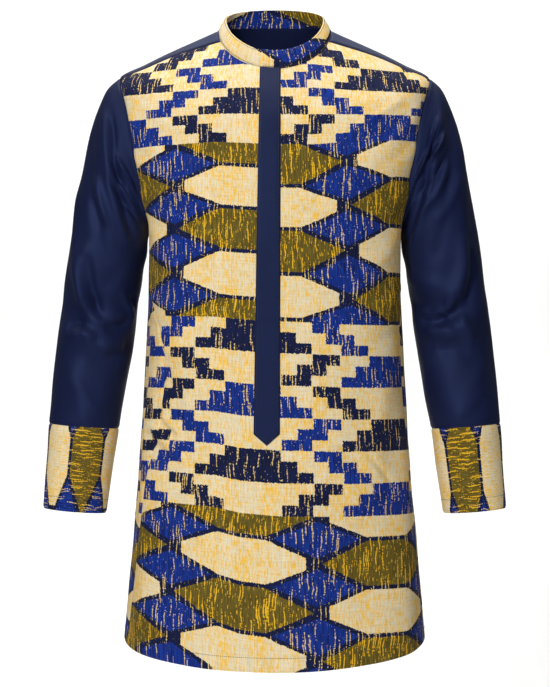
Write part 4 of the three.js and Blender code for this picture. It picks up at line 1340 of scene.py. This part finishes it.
def stitch_row(name, paths, finish, radius=THREAD_RADIUS):
    """paths is a list of (points, normals) along the cloth. Returns one object with all their stitches."""
    vertices, faces = [], []
    ring = [(math.cos(r), math.sin(r)) for r in np.arange(SIDES) * 2 * math.pi / SIDES]
    for points, normals in paths:
        run = np.concatenate([[0], np.cumsum(np.linalg.norm(np.diff(points, axis=0), axis=-1))])
        starts = np.arange(STITCH_PITCH / 2, run[-1] - STITCH_PITCH, STITCH_PITCH)
        for start in starts:
            at = start + STITCH_LENGTH * ARCH_SHARE
            place = np.stack([np.interp(at, run, points[:, k]) for k in range(3)], -1)
            out = np.stack([np.interp(start, run, normals[:, k]) for k in range(3)], -1)
            out = out / np.linalg.norm(out)
            forward = place[-1] - place[0]
            forward = forward / np.linalg.norm(forward)
            sideways = np.cross(forward, out)
            place = place + np.outer(ARCH_HEIGHT, out)
            base = len(vertices)
            for centre in place:
                vertices.extend(centre + radius * (c * out + s * sideways) for c, s in ring)
            for k in range(3):
                for s in range(SIDES):
                    a, b = base + k * SIDES + s, base + k * SIDES + (s + 1) % SIDES
                    faces.append([a, b, b + SIDES, a + SIDES])
    row = mesh_from(name, np.array(vertices), np.array(faces), {}, finish)
    print(name, len(faces) // (3 * SIDES), "stitches")
    return row


def path_on_body(angle, level):
    return body_point(angle, level), body_normal(angle, level)

# %% [markdown]
# The hem is turned up twice and stitched 21 mm above its edge. The cuffs are stitched 20 mm above theirs.
# The yoke is topstitched twice beside its seams, the collar along both edges, and the placket all round,
# its point included.

# %% Stitch rows
HEM_STITCH, HEM_SCALE = 21, 350  # millimetres above the edge, and millimetres to a level of the skirt
CUFF_STITCH = 20  # millimetres above the edge
YOKE_STITCHES = (2.2, 6.5)  # millimetres from the seam
YOKE_SCALE = (2.6, 150)  # millimetres to a degree, and to a level
COLLAR_STITCHES = (0.08, 0.91)  # shares of the collar's height
PLACKET_STITCH, PLACKET_TURN = 3.0, 0.011  # millimetres inside the band's edge, and levels above its point
TACK_ANGLES, TACK_LEVEL, TACK_RADIUS = (-56.2, -53.4), 2.7, 0.6  # closes the slit in the right side seam

round_body = np.linspace(0, 360, 900)
hem_path = path_on_body(round_body, np.full(900, 4 - HEM_STITCH / HEM_SCALE))
hem_stitches = stitch_row("hem_stitches", [hem_path], navy_thread)

tack_path = path_on_body(np.linspace(*TACK_ANGLES, 12), np.full(12, TACK_LEVEL))
pocket_tack = stitch_row("pocket_tack", [tack_path], navy_thread, TACK_RADIUS)

for side in (1, -1):
    turns = np.linspace(0, 360, 240)
    hoop = np.full(240, HEM_HOOP - CUFF_STITCH / CUFF_SCALE[1])
    path = (sleeve_point(turns, hoop, side), sleeve_normal(turns, hoop, side))
    stitch_row(f"cuff_{side_name(side)}_stitches", [path], navy_thread)

yoke_paths = []
for away in YOKE_STITCHES:
    for side in (1, -1):
        share = np.linspace(0.04, 0.98, 120)
        angle = mix(YOKE_NECK, CORNER_ANGLE, share) + away / YOKE_SCALE[0]
        yoke_paths.append(path_on_body(side * angle, share * CORNER_LEVEL))
    share = np.concatenate([np.linspace(0.02, 1, 120), np.linspace(1, 0.02, 120)[1:]])
    mirrored = np.arange(len(share)) >= 120
    angle = mix(BACK_CORNER_ANGLE, 180, share)
    level = across_panel(BACK_CORNER_LEVEL, YOKE_CENTRE, share) - away / YOKE_SCALE[1]
    yoke_paths.append(path_on_body(np.where(mirrored, 360 - angle, angle), level))
yoke_stitches = stitch_row("yoke_stitches", yoke_paths, navy_thread)

stitch_angles = np.linspace(collar_start + 2, TUCK_TO - 2, 420)
collar_paths = [collar_place(stitch_angles, np.full(420, share)) for share in COLLAR_STITCHES]
collar_stitches = stitch_row("collar_stitches", collar_paths, navy_thread)

stitch_paths = []
for side in (-1, 1):
    levels = np.linspace(0.02, end_level - 0.006, 400)
    edge = band_grid(lambda half: side * (half - PLACKET_STITCH), levels, PLACKET_LIFT)
    point_share = np.linspace(1, 0, 24)
    levels = mix(tip_level, end_level, point_share) - PLACKET_TURN
    tip = band_grid(lambda half: side * (half - PLACKET_STITCH) * point_share, levels, PLACKET_LIFT)
    stitch_paths.append([np.concatenate([run, end[1:]]) for run, end in zip(edge, tip)])
placket_stitches = stitch_row("placket_stitches", stitch_paths, navy_thread)

# %% [markdown]
# Each piece is a sheet that was cut flat and sewn. Its flat size would be the rectangle that it was cut
# from, and its area what is left after the neck, armholes and slanted seams are cut away; the loop below
# works out neither, and only runs over the two sides.

# %% Sides
for name in ("left", "right"):
    side = 1 if name == "left" else -1

# %% [markdown]
# ## Studio
# A plain pale floor turns up into a backdrop in one sweep, so that no line shows behind the garment. The
# light is soft and nearly even: a key lamp on the left, above the chest, a weaker and larger one low on
# the right, a wash of light on the backdrop, which it throws back round the edges of the cloth, and a dim
# pale sky.

# %% Floor and backdrop
# all in metres
FLOOR_Z, FLOOR_FRONT_Y, BACKDROP_TOP_Z, HALF_WIDTH = -1.30, -7.0, 5.0, 0.95
SWEEP_Y, SWEEP_RADIUS, SWEEP_STEPS = 1.9, 0.9, 16

profile = [(FLOOR_FRONT_Y, FLOOR_Z)]
for step in range(SWEEP_STEPS + 1):
    bend = math.radians(90 * step / SWEEP_STEPS)
    profile.append((SWEEP_Y + SWEEP_RADIUS * math.sin(bend), FLOOR_Z + SWEEP_RADIUS * (1 - math.cos(bend))))
profile.append((SWEEP_Y + SWEEP_RADIUS, BACKDROP_TOP_Z))
sweep_mesh = bpy.data.meshes.new("studio_sweep")
sweep_mesh.from_pydata(
    [(x, y, z) for y, z in profile for x in (-HALF_WIDTH, HALF_WIDTH)], [],
    [(2 * k, 2 * k + 1, 2 * k + 3, 2 * k + 2) for k in range(len(profile) - 1)],
)
sweep_mesh.shade_smooth()
sweep = new_object("studio_sweep", sweep_mesh)
paper, tree = new_finish("matt_backdrop_paper")
grain = add(tree, "TexNoise", None, {"Scale": 40.0, "Detail": 3.0})
colour = add(tree, "Mix", {"data_type": "RGBA"},
             {0: grain, 6: linear("#f4f4f3"), 7: linear("#fbfbfa")}, output=2)
shader = add(tree, "BsdfPrincipled", None, {"Base Color": colour, "Roughness": 0.9})
add(tree, "OutputMaterial", None, {"Surface": shader})
sweep_mesh.materials.append(paper)
sweep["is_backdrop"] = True

# %% Lights
LIGHTS = [
    # name, place, what it points at, size, watts
    ("key", (-1.3, -2.9, 1.0), (0, 0, -0.66), 0.5, 84),
    ("fill", (1.7, -3.4, 0.2), (0, 0, -0.55), 1.0, 20),
    ("back_wash", (0, 0.9, 2.6), (0, 2.8, 0), 3.0, 150),
]
SKY_STRENGTH = 0.08

for name, place, target, size, watts in LIGHTS:
    lamp = bpy.data.lights.new(name, "AREA")
    lamp.shape, lamp.size, lamp.energy = "DISK", size, watts
    light = new_object(name, lamp)
    light.location = place
    x, y, z = np.array(target) - np.array(place)
    light.rotation_euler = (math.atan2(math.hypot(x, y), -z), 0, math.atan2(y, x) - math.pi / 2)
world = bpy.data.worlds.new("soft_sky")
world.use_nodes = True
sky = world.node_tree.nodes["Background"].inputs
sky["Color"].default_value, sky["Strength"].default_value = linear("#ffffff"), SKY_STRENGTH
bpy.context.scene.world = world
bpy.context.scene.view_settings.view_transform = "Standard"
print(len(LIGHTS), "lamps and a pale sky")

boxes = {"cad": cad_box, "visual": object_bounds()}
{name: [list(map(float, corner)) for corner in box] for name, box in boxes.items()}
